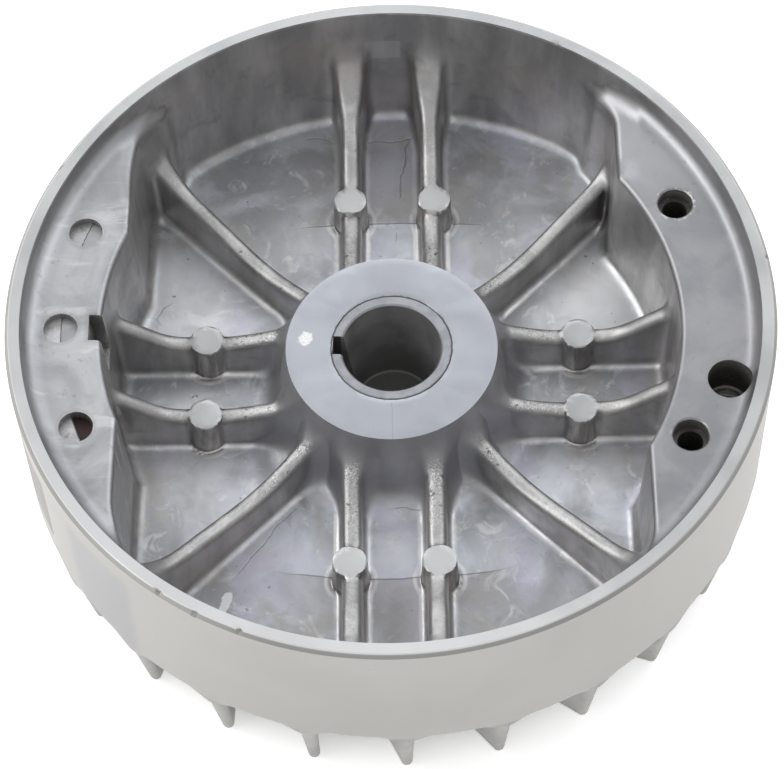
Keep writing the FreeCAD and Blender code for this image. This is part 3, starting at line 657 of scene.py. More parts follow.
def bowl_skin():
    """Die-cast aluminium skin inside the bowl: floors bluish and lighter than the browner walls, partly a painted
    reflection of the light; bright worn edges; painted shade in the hollows and painted highlights on the fillets round
    the hub.
    """
    g = Graph("cast_skin_bowl")
    up = g.attr("facing_up")
    flat = g.span(up, 0.55, 0.97)
    big = g.noise(46.0, 4.0, 0.6, 0.6)
    mid = g.noise(170.0, 5.0, 0.62, 0.8)
    fine = g.noise(900.0, 4.0, 0.6)
    x, y, z = g.xyz()
    floor_col = g.mix((0.37, 0.38, 0.405), (0.56, 0.585, 0.64), g.span(big, 0.40, 0.60))
    floor_col = g.mix(floor_col, (0.80, 0.81, 0.83), g.math("MULTIPLY", g.span(g.noise(120.0, 5.0, 0.66, 1.4), 0.53, 0.66), 0.52))
    floor_col = g.mix(floor_col, (0.43, 0.41, 0.395), g.math("MULTIPLY", g.span(g.noise(75.0, 3.0, 0.5, 0.4), 0.52, 0.66), 0.6))
    floor_col = g.mix(floor_col, (0.52, 0.51, 0.63), g.math("MULTIPLY", g.span(g.noise(58.0, 2.0, 0.5, 0.2, stretch=(1.0, 0.6, 1.0)), 0.54, 0.62), 0.5))
    floor_col = g.mix(floor_col, (0.30, 0.295, 0.29), g.math("MULTIPLY", g.span(g.noise(330.0, 5.0, 0.7, 0.8), 0.55, 0.72), 0.4))
    # broad patches painted lighter and darker: painted light and shade on the floors and walls
    light_shade_patch = g.attr("light_shade_patch")
    floor_col = g.mix(floor_col, (0.86, 0.87, 0.89), g.span(light_shade_patch, 0.0, 1.0, smooth=False))
    floor_col = g.mix(floor_col, (0.20, 0.195, 0.19), g.span(light_shade_patch, 0.0, -1.0, smooth=False))
    # the joint lines of the die's inserts cross the floor before and behind the hub
    x2 = g.math("MULTIPLY", x, x)
    seam = None
    for side, at, bend, reach in ((1.0, 0.0506, -1.2, 0.026), (-1.0, 0.0502, -3.0, 0.030)):
        wob = g.math("MULTIPLY", g.math("SUBTRACT", g.noise(150.0, 2.0), 0.5), 0.0010)
        dist = g.math("SUBTRACT", g.math("MULTIPLY", y, side), g.math("ADD", g.math("MULTIPLY", x2, bend), at))
        dist = g.math("ADD", dist, wob)
        near = g.span(g.math("ABSOLUTE", x), reach, reach - 0.010)
        thin = g.math("MULTIPLY", g.span(g.math("ABSOLUTE", dist), 0.00022, 0.00008), near)
        seam = thin if seam is None else g.math("MAXIMUM", seam, thin)
        beyond = g.math("MULTIPLY", g.math("MULTIPLY", g.span(dist, -0.0001, 0.0001), g.span(dist, 0.030, 0.006)), near)
        inner = g.math("MULTIPLY", g.math("MULTIPLY", g.span(dist, 0.0001, -0.0001), g.span(dist, -0.016, -0.003)), near)
        floor_col = g.mix(floor_col, (0.36, 0.35, 0.35), g.math("MULTIPLY", beyond, 0.42))
        floor_col = g.mix(floor_col, (0.66, 0.70, 0.76), g.math("MULTIPLY", inner, 0.40))
    streak = g.noise(90.0, 4.0, 0.6, 0.0, stretch=(1.0, 1.0, 0.22))
    wall_col = g.mix((0.345, 0.34, 0.34), (0.53, 0.52, 0.515), g.span(streak, 0.35, 0.68))
    wall_col = g.mix(wall_col, (0.22, 0.213, 0.21), g.math("MULTIPLY", g.span(g.noise(130.0, 5.0, 0.65, 0.6), 0.52, 0.72), 0.45))
    wall_col = g.mix(wall_col, (0.58, 0.51, 0.48), g.math("MULTIPLY", g.span(g.noise(40.0, 3.0, 0.5), 0.54, 0.68), 0.35))
    rr = g.radius()
    # the walls close round the hub are painted lighter and bluer: painted light on walls that stand in shade
    wall_col = g.mix(wall_col, (0.46, 0.465, 0.50), g.math("MULTIPLY", g.span(rr, 0.036, 0.030), 0.7))
    # up-facing floors take the lighter, bluer colour and the walls the darker, browner one: partly the skin's own
    # colour, partly a painted reflection of the light
    col = g.mix(wall_col, floor_col, flat)
    # tops of the ribs: rougher and browner, their shoulders painted darker as shade, with bright specks as painted
    # glints that thicken towards the hub
    top = g.math("MULTIPLY", g.span(z, 0.0318, 0.0335), g.span(up, 0.45, 0.85))
    top_col = g.mix((0.40, 0.398, 0.395), (0.60, 0.597, 0.59), g.span(mid, 0.34, 0.66))
    # darker as the rounded top turns away from up: painted shade
    top_col = g.mix(top_col, (0.29, 0.285, 0.28), g.span(up, 0.93, 0.68, 0.0, 0.65))
    grain = g.noise(2300.0, 3.0, 0.7)
    thick = g.span(rr, 0.050, 0.028, 0.0, 0.075)
    patchy = g.span(g.noise(95.0, 3.0, 0.6), 0.40, 0.58, 0.0, 0.075)
    thick = g.math("ADD", thick, patchy)
    glint_specks = g.span(g.math("ADD", grain, thick), 0.70, 0.77)
    pit = g.span(g.math("SUBTRACT", grain, thick), 0.36, 0.26)
    top_col = g.mix(top_col, (0.95, 0.95, 0.95), g.math("MULTIPLY", glint_specks, 0.75))
    top_col = g.mix(top_col, (0.10, 0.095, 0.09), g.math("MULTIPLY", pit, 0.6))
    chips = g.math("MULTIPLY", g.span(g.noise(760.0, 4.0, 0.65, 0.5), 0.60, 0.645), g.span(rr, 0.044, 0.036))
    top_col = g.mix(top_col, (0.05, 0.048, 0.046), g.math("MULTIPLY", chips, 0.85))
    col = g.mix(col, top_col, g.math("MULTIPLY", top, 0.85))
    # the cylinders of the ejector bosses: dark, with lighter streaks down them
    streaked_boss_side = g.mix((0.17, 0.155, 0.15), (0.50, 0.47, 0.45), g.span(g.noise(420.0, 3.0, 0.6, 0.0, stretch=(1.0, 1.0, 0.15)), 0.42, 0.66))
    col = g.mix(col, streaked_boss_side, g.math("MULTIPLY", g.attr("boss_side"), 0.62))
    over_land = g.math("MULTIPLY", g.span(z, 0.0600, 0.0625), g.span(g.math("ABSOLUTE", y), 0.071, 0.050))
    col = g.mix(col, (0.30, 0.298, 0.30), g.math("MULTIPLY", over_land, 0.85))
    # a paler square left by the die on the wall behind the long ribs
    square = g.math("MULTIPLY", g.span(g.math("ABSOLUTE", g.math("ADD", x, 0.0015)), 0.0048, 0.0042), g.math("MULTIPLY", g.span(z, 0.0503, 0.0508), g.span(z, 0.0575, 0.0569)))
    square = g.math("MULTIPLY", square, g.span(y, 0.075, 0.078))
    col = g.mix(col, (0.66, 0.65, 0.64), g.math("MULTIPLY", square, 0.35))
    edge = g.span(g.attr("edge"), 0.14, 0.5)
    col = g.mix(col, (0.76, 0.75, 0.73), g.math("MULTIPLY", g.math("MULTIPLY", edge, g.math("SUBTRACT", 1.0, top)), g.span(mid, 0.35, 0.6, 0.15, 0.6)))
    # painted highlights on the fillets round the hub, where the light catches them
    hol = g.attr("hollow")
    fillet = g.math("MULTIPLY", g.math("MULTIPLY", g.span(hol, 0.05, 0.20), g.span(hol, 0.60, 0.36)), g.span(rr, 0.060, 0.042, 0.35, 1.0))
    fillet = g.math("MULTIPLY", fillet, g.math("MULTIPLY", g.span(up, 0.45, 0.75), g.span(z, 0.0325, 0.0305)))
    col = g.mix(col, (0.90, 0.89, 0.87), g.math("MULTIPLY", fillet, g.span(g.noise(110.0, 3.0, 0.6), 0.36, 0.62, 0.1, 0.65)))
    # darker in the hollows: painted shade, with some grime
    hollow_shade_and_grime = g.span(g.attr("hollow"), 0.42, 0.85)
    col = g.mix(col, (0.13, 0.12, 0.115), g.math("MULTIPLY", hollow_shade_and_grime, 0.62))
    cr = g.math("MULTIPLY", g.cracks(24.0, 0.0052, warp=0.009), g.span(g.noise(48.0, 2.0), 0.56, 0.61))
    cr = g.math("MAXIMUM", g.math("MULTIPLY", cr, 0.8), seam)
    cr = g.math("MULTIPLY", cr, g.math("MULTIPLY", flat, g.math("SUBTRACT", 1.0, top)))
    col = g.mix(col, (0.12, 0.115, 0.11), g.math("MULTIPLY", cr, 0.55))
    specks = g.math("MULTIPLY", g.span(g.noise(620.0, 2.0, 0.5), 0.735, 0.77), flat)
    col = g.mix(col, (0.10, 0.095, 0.09), g.math("MULTIPLY", specks, 0.6))
    # a short dab of white paint on the floor, near the rim
    along = g.math("ADD", g.math("MULTIPLY", g.math("ADD", x, 0.0401), 0.357), g.math("MULTIPLY", g.math("ADD", y, 0.0558), 0.934))
    across = g.math("SUBTRACT", g.math("MULTIPLY", g.math("ADD", x, 0.0401), 0.934), g.math("MULTIPLY", g.math("ADD", y, 0.0558), 0.357))
    over = g.math("MAXIMUM", g.math("SUBTRACT", g.math("ABSOLUTE", along), 0.0020), 0.0)
    dab = g.math("SQRT", g.math("ADD", g.math("MULTIPLY", over, over), g.math("MULTIPLY", across, across)))
    dab = g.math("ADD", dab, g.math("MULTIPLY", g.math("SUBTRACT", g.noise(500.0, 3.0), 0.5), 0.0014))
    dab = g.math("MULTIPLY", g.math("MULTIPLY", g.span(dab, 0.00125, 0.00085), g.span(z, 0.0305, 0.0295)), flat)
    col = g.mix(col, (0.88, 0.89, 0.92), g.math("MULTIPLY", dab, 0.9))
    rough = g.span(mid, 0.3, 0.75, 0.38, 0.54)
    rough = g.math("SUBTRACT", rough, g.math("MULTIPLY", g.span(g.attr("hollow"), 0.10, 0.30), 0.09))
    n = g.bump(mid, 0.12, 0.0005)
    n = g.bump(fine, 0.24, 0.00012, n)
    n = g.bump(g.math("MULTIPLY", grain, g.math("MULTIPLY", top, g.span(thick, 0.0, 0.14, 0.25, 1.0))), 0.5, 0.00025, n)
    n = g.bump(g.math("SUBTRACT", 1.0, cr), 0.35, 0.0002, n)
    return g.done(col, rough, g.math("MULTIPLY", g.math("SUBTRACT", 1.0, dab), 0.9), n)


def land_skin():
    """Top of the two lands: smooth bluish cast face with small dents."""
    g = Graph("cast_skin_land")
    big = g.noise(60.0, 4.0, 0.6, 0.5)
    fine = g.noise(700.0, 3.0, 0.6)
    x, y, z = g.xyz()
    # the right land is painted darker than the left, and each is painted darker or lighter towards its upper end:
    # painted light and shade
    left = g.mix((0.34, 0.35, 0.37), (0.50, 0.51, 0.535), g.span(big, 0.36, 0.66))
    smear = g.math("MULTIPLY", g.span(g.noise(70.0, 4.0, 0.6, 0.8, stretch=(0.6, 2.6, 1.0)), 0.56, 0.68), 0.55)
    left = g.mix(left, (0.66, 0.67, 0.68), smear)
    right = g.mix((0.275, 0.28, 0.30), (0.345, 0.345, 0.365), g.span(big, 0.36, 0.66))
    left = g.mix(left, (0.32, 0.325, 0.34), g.span(y, 0.024, 0.040, 0.0, 0.50))
    right = g.mix(right, (0.44, 0.445, 0.465), g.span(y, 0.028, 0.046, 0.0, 0.50))
    col = g.mix(left, right, g.span(x, -0.01, 0.01))
    col = g.mix(col, (0.20, 0.20, 0.205), g.math("MULTIPLY", g.span(g.noise(520.0, 3.0, 0.6), 0.62, 0.74), 0.35))
    edge = g.span(g.attr("edge"), 0.10, 0.45)
    # the rolled inner edges painted darker: painted shade
    col = g.mix(col, (0.26, 0.26, 0.26), g.math("MULTIPLY", edge, 0.25))
    # faces turning away from up painted darker: painted shade
    steep = g.span(g.attr("facing_up"), 0.90, 0.45)
    col = g.mix(col, (0.27, 0.268, 0.268), g.math("MULTIPLY", steep, 0.7))
    worn = g.math("MULTIPLY", g.math("MULTIPLY", g.span(g.noise(900.0, 4.0, 0.7), 0.52, 0.62), g.span(y, 0.004, 0.022)), g.math("MULTIPLY", edge, g.span(x, 0.0, 0.02)))
    col = g.mix(col, (0.85, 0.85, 0.85), g.math("MULTIPLY", worn, 0.6))
    n = g.bump(g.noise(140.0, 3.0, 0.5), 0.20, 0.0005)
    n = g.bump(fine, 0.22, 0.0001, n)
    return g.done(col, g.span(big, 0.3, 0.7, 0.36, 0.46), 0.85, n)


def turned_face(name, a, b, dot=False):
    """A machined face: satin, with faint turning rings about the crank axis."""
    g = Graph(name)
    big = g.noise(38.0, 3.0, 0.55, 0.3)
    rr = g.radius()
    ring = g.math("SINE", g.math("MULTIPLY", rr, 2 * math.pi / 0.00062))
    slow = g.noise(1.0, 2.0, 0.5, vec=None)
    col = g.mix(a, b, g.span(big, 0.35, 0.65))
    fine = g.noise(1200.0, 3.0, 0.6)
    col = g.mix(col, (0.32, 0.32, 0.33), g.math("MULTIPLY", g.span(fine, 0.60, 0.78), 0.35))
    if not dot:
        x, y, z = g.xyz()
        # lighter towards the front of the wheel: a painted sheen
        front_sheen = g.math("SUBTRACT", g.math("MULTIPLY", x, -0.35), g.math("MULTIPLY", y, 0.94))
        col = g.mix(col, (0.80, 0.81, 0.83), g.span(front_sheen, 0.032, 0.080, 0.0, 0.66))
    rough = g.span(big, 0.3, 0.7, 0.34, 0.42)
    metal = 0.85
    n = g.bump(ring, 0.05, 0.00003)
    n = g.bump(fine, 0.10, 0.00006, n)
    if dot:
        x, y, z = g.xyz()
        q = g.math("ADD", g.radius(-0.0206, 0.0027), g.math("MULTIPLY", g.math("SUBTRACT", g.noise(620.0, 3.0), 0.5), 0.0026))
        paint = g.math("MULTIPLY", g.span(q, 0.0021, 0.0015), g.span(g.noise(1500.0, 2.0), 0.30, 0.50, 0.55, 0.9))
        col = g.mix(col, (0.84, 0.85, 0.87), paint)
        metal = g.math("MULTIPLY", g.math("SUBTRACT", 1.0, paint), 0.85)
        # a fine scored line below the bore and the ragged joint round the insert
        score = g.math("MULTIPLY", g.span(g.math("ABSOLUTE", g.math("ADD", x, g.math("MULTIPLY", g.math("SUBTRACT", g.noise(300.0, 2.0), 0.5), 0.0006))), 0.00014, 0.00004), g.span(y, -0.0148, -0.0152))
        col = g.mix(col, (0.22, 0.22, 0.24), g.math("MULTIPLY", score, 0.4))
        rag = g.math("ADD", rr, g.math("MULTIPLY", g.math("SUBTRACT", g.noise(900.0, 3.0), 0.5), 0.0009))
        col = g.mix(col, (0.10, 0.10, 0.10), g.math("MULTIPLY", g.span(rag, 0.01475, 0.01455), 0.6))
    return g.done(col, rough, metal, n)


def outer_skin():
    """The turned outside of the rim: smooth, warm light grey with a soft sheen and one greyer patch."""
    g = Graph("rim_outside")
    x, y, z = g.xyz()
    ang = g.math("ARCTAN2", y, x)
    big = g.noise(22.0, 3.0, 0.5, 0.3)
    col = g.mix((0.33, 0.32, 0.302), (0.372, 0.361, 0.343), g.span(big, 0.35, 0.65))
    wob = g.math("ADD", ang, g.math("MULTIPLY", g.math("SUBTRACT", g.noise(25.0, 3.0), 0.5), 0.10))
    patch = g.math("MULTIPLY", g.span(wob, math.radians(-147.0), math.radians(-143.5)), g.span(wob, math.radians(-129.5), math.radians(-132.0)))
    patch = g.math("MULTIPLY", patch, g.span(z, 0.063, 0.058))
    col = g.mix(col, (0.295, 0.298, 0.312), g.math("MULTIPLY", patch, 0.85))
    # a dark band on the top chamfer, faded out on the left: a painted dark reflection
    chamfer_dark_reflection = g.math("MULTIPLY", g.math("MULTIPLY", g.span(z, 0.06685, 0.06705), g.span(z, 0.06775, 0.06745)), 0.72)
    chamfer_dark_reflection = g.math("MULTIPLY", chamfer_dark_reflection, g.span(ang, math.radians(-122.0), math.radians(-104.0), 0.12, 1.0))
    col = g.mix(col, (0.25, 0.25, 0.245), chamfer_dark_reflection)
    streak = g.noise(60.0, 3.0, 0.5, 0.0, stretch=(0.4, 0.4, 12.0))
    fine = g.noise(1500.0, 2.0, 0.5)
    n = g.bump(streak, 0.05, 0.0002)
    n = g.bump(fine, 0.06, 0.00005, n)
    return g.done(col, g.span(big, 0.3, 0.7, 0.30, 0.40), 0.45, n)


def bored_skin():
    """Walls of the drilled holes: painted darker deeper down, as shade, with turned rings."""
    g = Graph("drilled_bores")
    x, y, z = g.xyz()
    ring = g.math("SINE", g.math("MULTIPLY", z, 2 * math.pi / 0.00085))
    band = g.span(ring, -0.6, 0.6)
    # darker deeper down the holes: painted shade
    lit = g.span(z, 0.0575, 0.0612)
    col = g.mix((0.10, 0.095, 0.09), (0.24, 0.235, 0.23), lit)
    col = g.mix(col, (0.36, 0.35, 0.34), g.math("MULTIPLY", band, 0.30))
    grain = g.noise(1600.0, 3.0, 0.7)
    col = g.mix(col, (0.60, 0.59, 0.58), g.math("MULTIPLY", g.span(grain, 0.58, 0.72), 0.35))
    n = g.bump(ring, 0.5, 0.0002)
    n = g.bump(grain, 0.4, 0.0002, n)
    return g.done(col, 0.4, 0.8, n)


def back_skin():
    """Cast skin of the fan side: matt grey, slightly sandy."""
    g = Graph("cast_skin_fan")
    big = g.noise(50.0, 4.0, 0.6, 0.5)
    fine = g.noise(800.0, 4.0, 0.6)
    col = g.mix((0.30, 0.295, 0.285), (0.42, 0.415, 0.40), g.span(big, 0.36, 0.66))
    col = g.mix(col, (0.20, 0.195, 0.19), g.math("MULTIPLY", g.span(g.noise(420.0, 3.0, 0.6), 0.58, 0.74), 0.5))
    edge = g.span(g.attr("edge"), 0.10, 0.45)
    col = g.mix(col, (0.50, 0.49, 0.48), g.math("MULTIPLY", edge, 0.35))
    n = g.bump(big, 0.2, 0.0006)
    n = g.bump(fine, 0.3, 0.00015, n)
    return g.done(col, g.span(big, 0.3, 0.7, 0.42, 0.56), 0.75, n)


def insert_skin():
    """Turned steel: the up-facing mouth lighter than the bore, and the bore painted darker towards its foot, as light
    and shade.
    """
    g = Graph("insert_turned_steel")
    x, y, z = g.xyz()
    rr = g.radius()
    big = g.noise(90.0, 4.0, 0.6)
    up = g.attr("facing_up")
    face = g.span(up, 0.3, 0.8)
    col = g.mix((0.27, 0.27, 0.276), (0.37, 0.37, 0.378), g.span(big, 0.35, 0.65))
    # darker and browner towards the foot of the bore: painted shade
    col = g.mix(col, (0.26, 0.25, 0.235), g.span(z, 0.036, 0.027, 0.0, 0.5))
    # a thin bright ring round the foot of the bore: a painted highlight standing in for the lit edge of a lip
    col = g.mix(col, (0.90, 0.89, 0.85), g.math("MULTIPLY", g.math("MULTIPLY", g.span(z, 0.02495, 0.02465), g.span(rr, 0.0100, 0.0097)), 0.95))
    # near black on the faces that do not face up beyond a radius of about 12.6 mm: the dark joint round the neck, and
    # painted shade deep in the keyway
    col = g.mix(col, (0.075, 0.07, 0.066), g.math("MULTIPLY", g.span(rr, 0.01245, 0.01275), 0.85))
    ragged = g.math("ADD", rr, g.math("MULTIPLY", g.math("SUBTRACT", g.noise(900.0, 3.0), 0.5), 0.0009))
    ring_col = g.mix((0.315, 0.325, 0.355), (0.39, 0.40, 0.43), g.span(g.noise(260.0, 3.0, 0.6), 0.35, 0.65))
    ring_col = g.mix(ring_col, (0.14, 0.14, 0.14), g.math("MULTIPLY", g.span(ragged, 0.01395, 0.01425), 0.55))
    # faces that turn up take the lighter mouth colour, the bore the darker one: partly painted light and shade
    col = g.mix(col, ring_col, face)
    ring = g.math("SINE", g.math("MULTIPLY", z, 2 * math.pi / 0.0009))
    n = g.bump(ring, 0.06, 0.00005)
    n = g.bump(g.noise(1300.0, 3.0, 0.6), 0.12, 0.00008, n)
    return g.done(col, g.span(big, 0.3, 0.7, 0.42, 0.50), g.span(face, 0.0, 1.0, 0.7, 0.85), n)


def stack_skin():
    """Ground lamination stack: plate lines across the height, a little rust between them."""
    g = Graph("pole_laminations")
    x, y, z = g.xyz()
    ph = g.math("FRACT", g.math("MULTIPLY", g.math("SUBTRACT", z, 0.0344), 1.0 / 0.0016))
    gap = g.math("SUBTRACT", 1.0, g.span(g.math("ABSOLUTE", g.math("SUBTRACT", ph, 0.5)), 0.47, 0.40))
    up = g.t.nodes.new("ShaderNodeNewGeometry").outputs["Normal"]
    s = g.t.nodes.new("ShaderNodeSeparateXYZ")
    g.link(up, s.inputs[0])
    side = g.span(g.math("ABSOLUTE", s.outputs[2]), 0.6, 0.3)
    gap = g.math("MULTIPLY", gap, side)
    big = g.noise(120.0, 4.0, 0.6)
    mottle = g.span(big, 0.35, 0.65)
    col = g.mix(g.mix((0.44, 0.44, 0.45), (0.66, 0.66, 0.67), mottle), g.mix((0.21, 0.20, 0.19), (0.28, 0.27, 0.26), mottle), side)
    col = g.mix(col, (0.10, 0.07, 0.055), g.math("MULTIPLY", gap, 0.75))
    shut = g.math("MULTIPLY", g.span(g.radius(), 0.07795, 0.07775), g.math("SUBTRACT", 1.0, side))
    col = g.mix(col, (0.05, 0.05, 0.05), g.math("MULTIPLY", shut, 0.85))
    grain = g.noise(1900.0, 3.0, 0.7)
    # bright specks on the tops of the shoes: painted glints
    col = g.mix(col, (0.90, 0.90, 0.90), g.math("MULTIPLY", g.span(grain, 0.58, 0.70), g.span(side, 0.0, 1.0, 0.5, 0.10)))
    col = g.mix(col, (0.15, 0.15, 0.15), g.math("MULTIPLY", g.span(g.noise(420.0, 4.0, 0.7, 1.2), 0.55, 0.66), 0.4))
    n = g.bump(g.math("SUBTRACT", 1.0, gap), 0.4, 0.0002)
    n = g.bump(grain, 0.35, 0.0002, n)
    n = g.bump(g.noise(1500.0, 3.0, 0.6), 0.1, 0.00006, n)
    return g.done(col, g.span(big, 0.3, 0.7, 0.32, 0.46), 0.85, n)


def plain_steel(name, a, b, rough_lo, rough_hi, metal):
    g = Graph(name)
    big = g.noise(160.0, 4.0, 0.6)
    col = g.mix(a, b, g.span(big, 0.35, 0.65))
    n = g.bump(g.noise(1400.0, 3.0, 0.6), 0.2, 0.0001)
    return g.done(col, g.span(big, 0.3, 0.7, rough_lo, rough_hi), metal, n)


def paint_light_patches(ob, verts):
    """Painted light and shade: broad lighter and darker patches on the casting skin: place, spread (mm) and strength.
    """
    patches = (
        (-47, 24, 14, 10, 0.42), (-55, 31, 6, 10, 0.25), (48, 24, 13, 11, 0.60), (56, 33, 7, 8, 0.28), (-30, 38, 9, 8, 0.16), (-46, -27, 13, 10, 0.26), (46, -27, 13, 10, 0.14),
        (30, 40, 14, 10, 0.16), (0, 46, 6, 6, 0.16), (0, -62, 6, 13, -0.55), (0, -42, 6, 7, 0.30), (-48, -2, 9, 4, 0.42),
        (50, -3, 9, 4, -0.22), (-34, -52, 12, 8, -0.16), (-56, 44, 8, 8, 0.12), (0, 78, 40, 9, -0.16), (33, -57, 14, 9, -0.10),
        (-53, 37, 8, 8, 0.20), (52, 36, 8, 8, 0.32), (-23, 48, 11, 8, 0.26), (32, 60, 12, 8, 0.12), (-49, -20, 9, 7, 0.18), (-48, 0, 8, 4, 0.14),
        (48, -22, 9, 7, 0.10), (0, -45, 7, 6, 0.14), (0, -61, 6, 8, -0.24),
    )
    t = np.zeros(len(verts))
    for px, py, sx, sy, amount in patches:
        t += amount * np.exp(-(((verts[:, 0] - px) / sx) ** 2) - ((verts[:, 1] - py) / sy) ** 2)
    t += 0.07 * value_noise(verts[:, 0] / 9.0 + 40, verts[:, 1] / 9.0 + 40, verts[:, 2] / 9.0, 5)
    side = np.zeros(len(verts))
    for bx, by, zt in BOSSES:
        q = np.hypot(verts[:, 0] - bx, verts[:, 1] - by)
        side = np.maximum(side, np.clip((5.3 - q) / 0.5, 0.0, 1.0) * np.clip((zt - 0.35 - verts[:, 2]) / 0.3, 0.0, 1.0) * np.clip((q - 3.3) / 0.4, 0.0, 1.0))
    at = ob.data.attributes.new("boss_side", "FLOAT", "POINT")
    at.data.foreach_set("value", side.astype(F32))
    at = ob.data.attributes.new("light_shade_patch", "FLOAT", "POINT")
    at.data.foreach_set("value", np.clip(t, -1.0, 1.0).astype(F32))


paint_light_patches(cast_ob, verts)
cast_n = vertex_masks(cast_ob, casting, verts)
insert_n = vertex_masks(insert_ob, insert, iv)
mats = [
    bowl_skin(),
    land_skin(),
    turned_face("rim_top_turned", (0.44, 0.45, 0.46), (0.54, 0.55, 0.555)),
    turned_face("hub_face_turned", (0.405, 0.42, 0.465), (0.47, 0.49, 0.535), dot=True),
    turned_face("ejector_boss_tops", (0.42, 0.43, 0.44), (0.54, 0.55, 0.555)),
    outer_skin(),
    bored_skin(),
    back_skin(),
]
for m in mats:
    cast_ob.data.materials.append(m)
cen = verts[quads].mean(1)
cr_, nz = np.hypot(cen[:, 0], cen[:, 1]), cast_fn[:, 2]
slot_of = np.zeros(len(quads), dtype=np.int32)
slot_of[(cen[:, 2] < 27.0) | ((cen[:, 2] < 28.0) & (cr_ > 80) & (nz < 0))] = 7
slot_of[(cen[:, 2] > 56.0) & (nz > 0.35) & (np.abs(cen[:, 0]) > 46)] = 1
slot_of[(cr_ > 89.0) & (cen[:, 2] > 24.6)] = 5
slot_of[(cen[:, 2] > 67.85) & (cr_ > 85)] = 2
slot_of[(cen[:, 2] > 50.3) & (cr_ < 25.6) & (nz > 0.5)] = 3
for bx, by, zt in BOSSES:
    q = np.hypot(cen[:, 0] - bx, cen[:, 1] - by)
    slot_of[(q < 4.3) & (cen[:, 2] > zt - 0.22) & (nz > 0.6)] = 4
for _, ang, deep in POLES:
    q = np.hypot(cen[:, 0] - 77.6 * math.cos(math.radians(ang)), cen[:, 1] - 77.6 * math.sin(math.radians(ang)))
    slot_of[(q < 4.3) & (cen[:, 2] > 58.0) & (cen[:, 2] < 61.9) & (np.abs(nz) < 0.7)] = 6
for ang, rad, zlow in ((25.0, 4.35, 37.0), (-25.0, 4.35, 37.0)):
    q = np.hypot(cen[:, 0] - 75.7 * math.cos(math.radians(ang)), cen[:, 1] - 75.7 * math.sin(math.radians(ang)))
    slot_of[(q < rad) & (cen[:, 2] > zlow) & (cen[:, 2] < 61.75)] = 6
q = np.hypot(cen[:, 0] - 80.3 * math.cos(math.radians(-12.5)), cen[:, 1] - 80.3 * math.sin(math.radians(-12.5)))
slot_of[(q < 5.2) & (cen[:, 2] > 47.0) & (cen[:, 2] < 61.9)] = 6
slot_of[(cr_ < 17.4) & (cen[:, 2] < 50.3)] = 7
cast_ob.data.polygons.foreach_set("material_index", slot_of)
insert_ob.data.materials.append(insert_skin())
node_mat = {}
lam, riv = stack_skin(), plain_steel("rivet_steel", (0.50, 0.50, 0.50), (0.62, 0.62, 0.61), 0.3, 0.42, 0.9)
mag_red = plain_steel("magnet_red_primer", (0.010, 0.004, 0.005), (0.050, 0.011, 0.014), 0.4, 0.55, 0.1)
mag_bare = plain_steel("magnet_bare", (0.46, 0.46, 0.465), (0.72, 0.72, 0.725), 0.36, 0.5, 0.8)
kee = plain_steel("keeper_dark_steel", (0.06, 0.058, 0.055), (0.12, 0.115, 0.11), 0.4, 0.55, 0.8)
for name, ob in frame["nodes"].items():
    m = lam if name.startswith("pole_shoe") else riv if name.startswith("rivets") else kee if name == "magnet_keeper" else mag_red if name == "magnet_leading" else mag_bare if name.startswith("magnet") else None
    if m is not None:
        for child in [ob] + list(ob.children_recursive):
            if child.type == "MESH":
                if not child.material_slots:
                    child.data.materials.append(m)
                for s in child.material_slots:
                    s.material = m

# ------------------------------------------------------------------ floor and light
floor_me = bpy.data.meshes.new("studio_floor")
floor_me.from_pydata([(-4, -4, 0), (4, -4, 0), (4, 4, 0), (-4, 4, 0)], [], [(0, 1, 2, 3)])
floor_ob = bpy.data.objects.new("studio_floor", floor_me)
scene.collection.objects.link(floor_ob)
fm = bpy.data.materials.new("floor_white")
fm.use_nodes = True
fb = fm.node_tree.nodes["Principled BSDF"]
fb.inputs["Emission Color"].default_value = (1.0, 1.0, 1.0, 1)
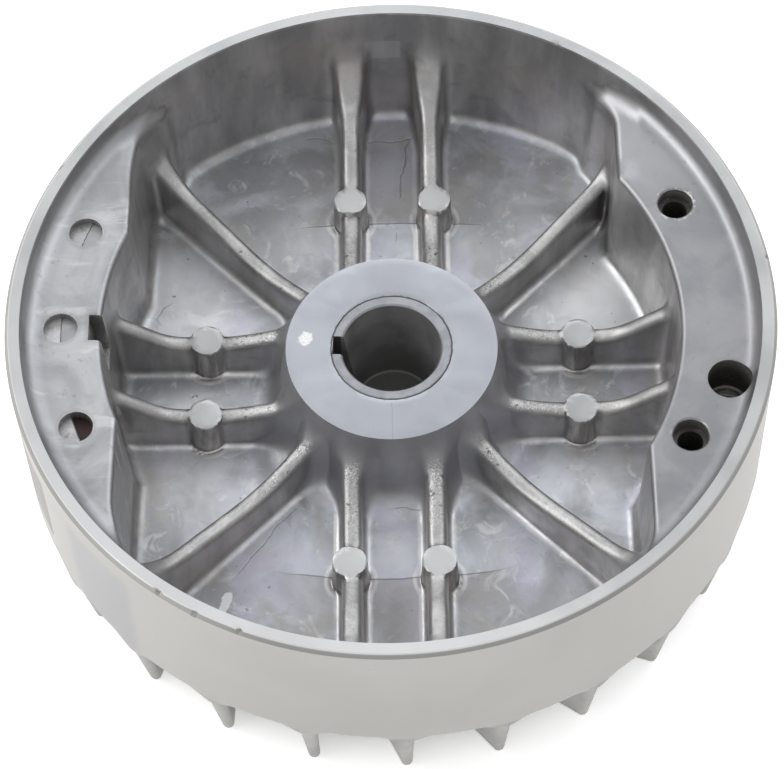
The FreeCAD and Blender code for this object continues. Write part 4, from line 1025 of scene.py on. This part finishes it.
# painted light: the floor glows round the wheel to wash out its shadow, but not under it
ft = fm.node_tree
f_co = ft.nodes.new("ShaderNodeTexCoord")
f_len = ft.nodes.new("ShaderNodeVectorMath")
f_len.operation = "LENGTH"
ft.links.new(f_co.outputs["Object"], f_len.inputs[0])
f_painted_glow = ft.nodes.new("ShaderNodeMapRange")
f_painted_glow.interpolation_type = "SMOOTHSTEP"
for key, v in (("From Min", 0.066), ("From Max", 0.086), ("To Min", 0.0), ("To Max", 0.50)):
    f_painted_glow.inputs[key].default_value = v
ft.links.new(f_len.outputs["Value"], f_painted_glow.inputs["Value"])
ft.links.new(f_painted_glow.outputs["Result"], fb.inputs["Emission Strength"])
# under the wheel the floor's colour is painted darker: painted shade
f_painted_shade = ft.nodes.new("ShaderNodeMapRange")
f_painted_shade.interpolation_type = "SMOOTHSTEP"
for key, v in (("From Min", 0.020), ("From Max", 0.070), ("To Min", 0.62), ("To Max", 0.93)):
    f_painted_shade.inputs[key].default_value = v
ft.links.new(f_len.outputs["Value"], f_painted_shade.inputs["Value"])
f_rgb = ft.nodes.new("ShaderNodeCombineColor")
for i in range(3):
    ft.links.new(f_painted_shade.outputs["Result"], f_rgb.inputs[i])
ft.links.new(f_rgb.outputs["Color"], fb.inputs["Base Color"])
fb.inputs["Roughness"].default_value = 0.9
floor_me.materials.append(fm)


def area(name, loc, aim, size, power, color):
    d = bpy.data.lights.new(name, "AREA")
    d.shape = "RECTANGLE"
    d.size, d.size_y = size
    d.energy = power
    d.color = color
    o = bpy.data.objects.new(name, d)
    scene.collection.objects.link(o)
    dx, dy, dz = (aim[i] - loc[i] for i in range(3))
    o.location = loc
    o.rotation_euler = Vector((dx, dy, dz)).to_track_quat("-Z", "Y").to_euler()
    return o


area("strip_left", (-1.2, 0.2, 1.0), (0, 0, 0.04), (2.2, 0.5), 12.0, (1.0, 0.99, 0.97))
area("strip_right", (1.05, 0.75, 1.15), (0, 0, 0.04), (0.55, 1.5), 4.0, (0.97, 0.99, 1.0))
area("overhead", (0.0, 1.5, 1.3), (0, 0, 0.04), (0.9, 0.5), 3.0, (0.96, 0.98, 1.0))
world = bpy.data.worlds.new("studio")
scene.world = world
world.use_nodes = True
bg = world.node_tree.nodes["Background"]
bg.inputs["Color"].default_value = (1.0, 1.0, 1.0, 1)
bg.inputs["Strength"].default_value = 0.80
scene.view_settings.view_transform = "Standard"
scene.view_settings.look = "None"

# ------------------------------------------------------------------ bodies, nodes, finish
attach(cast_ob, "root")
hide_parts("flywheel_casting")
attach(insert_ob, "root")
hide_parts("hub_insert")
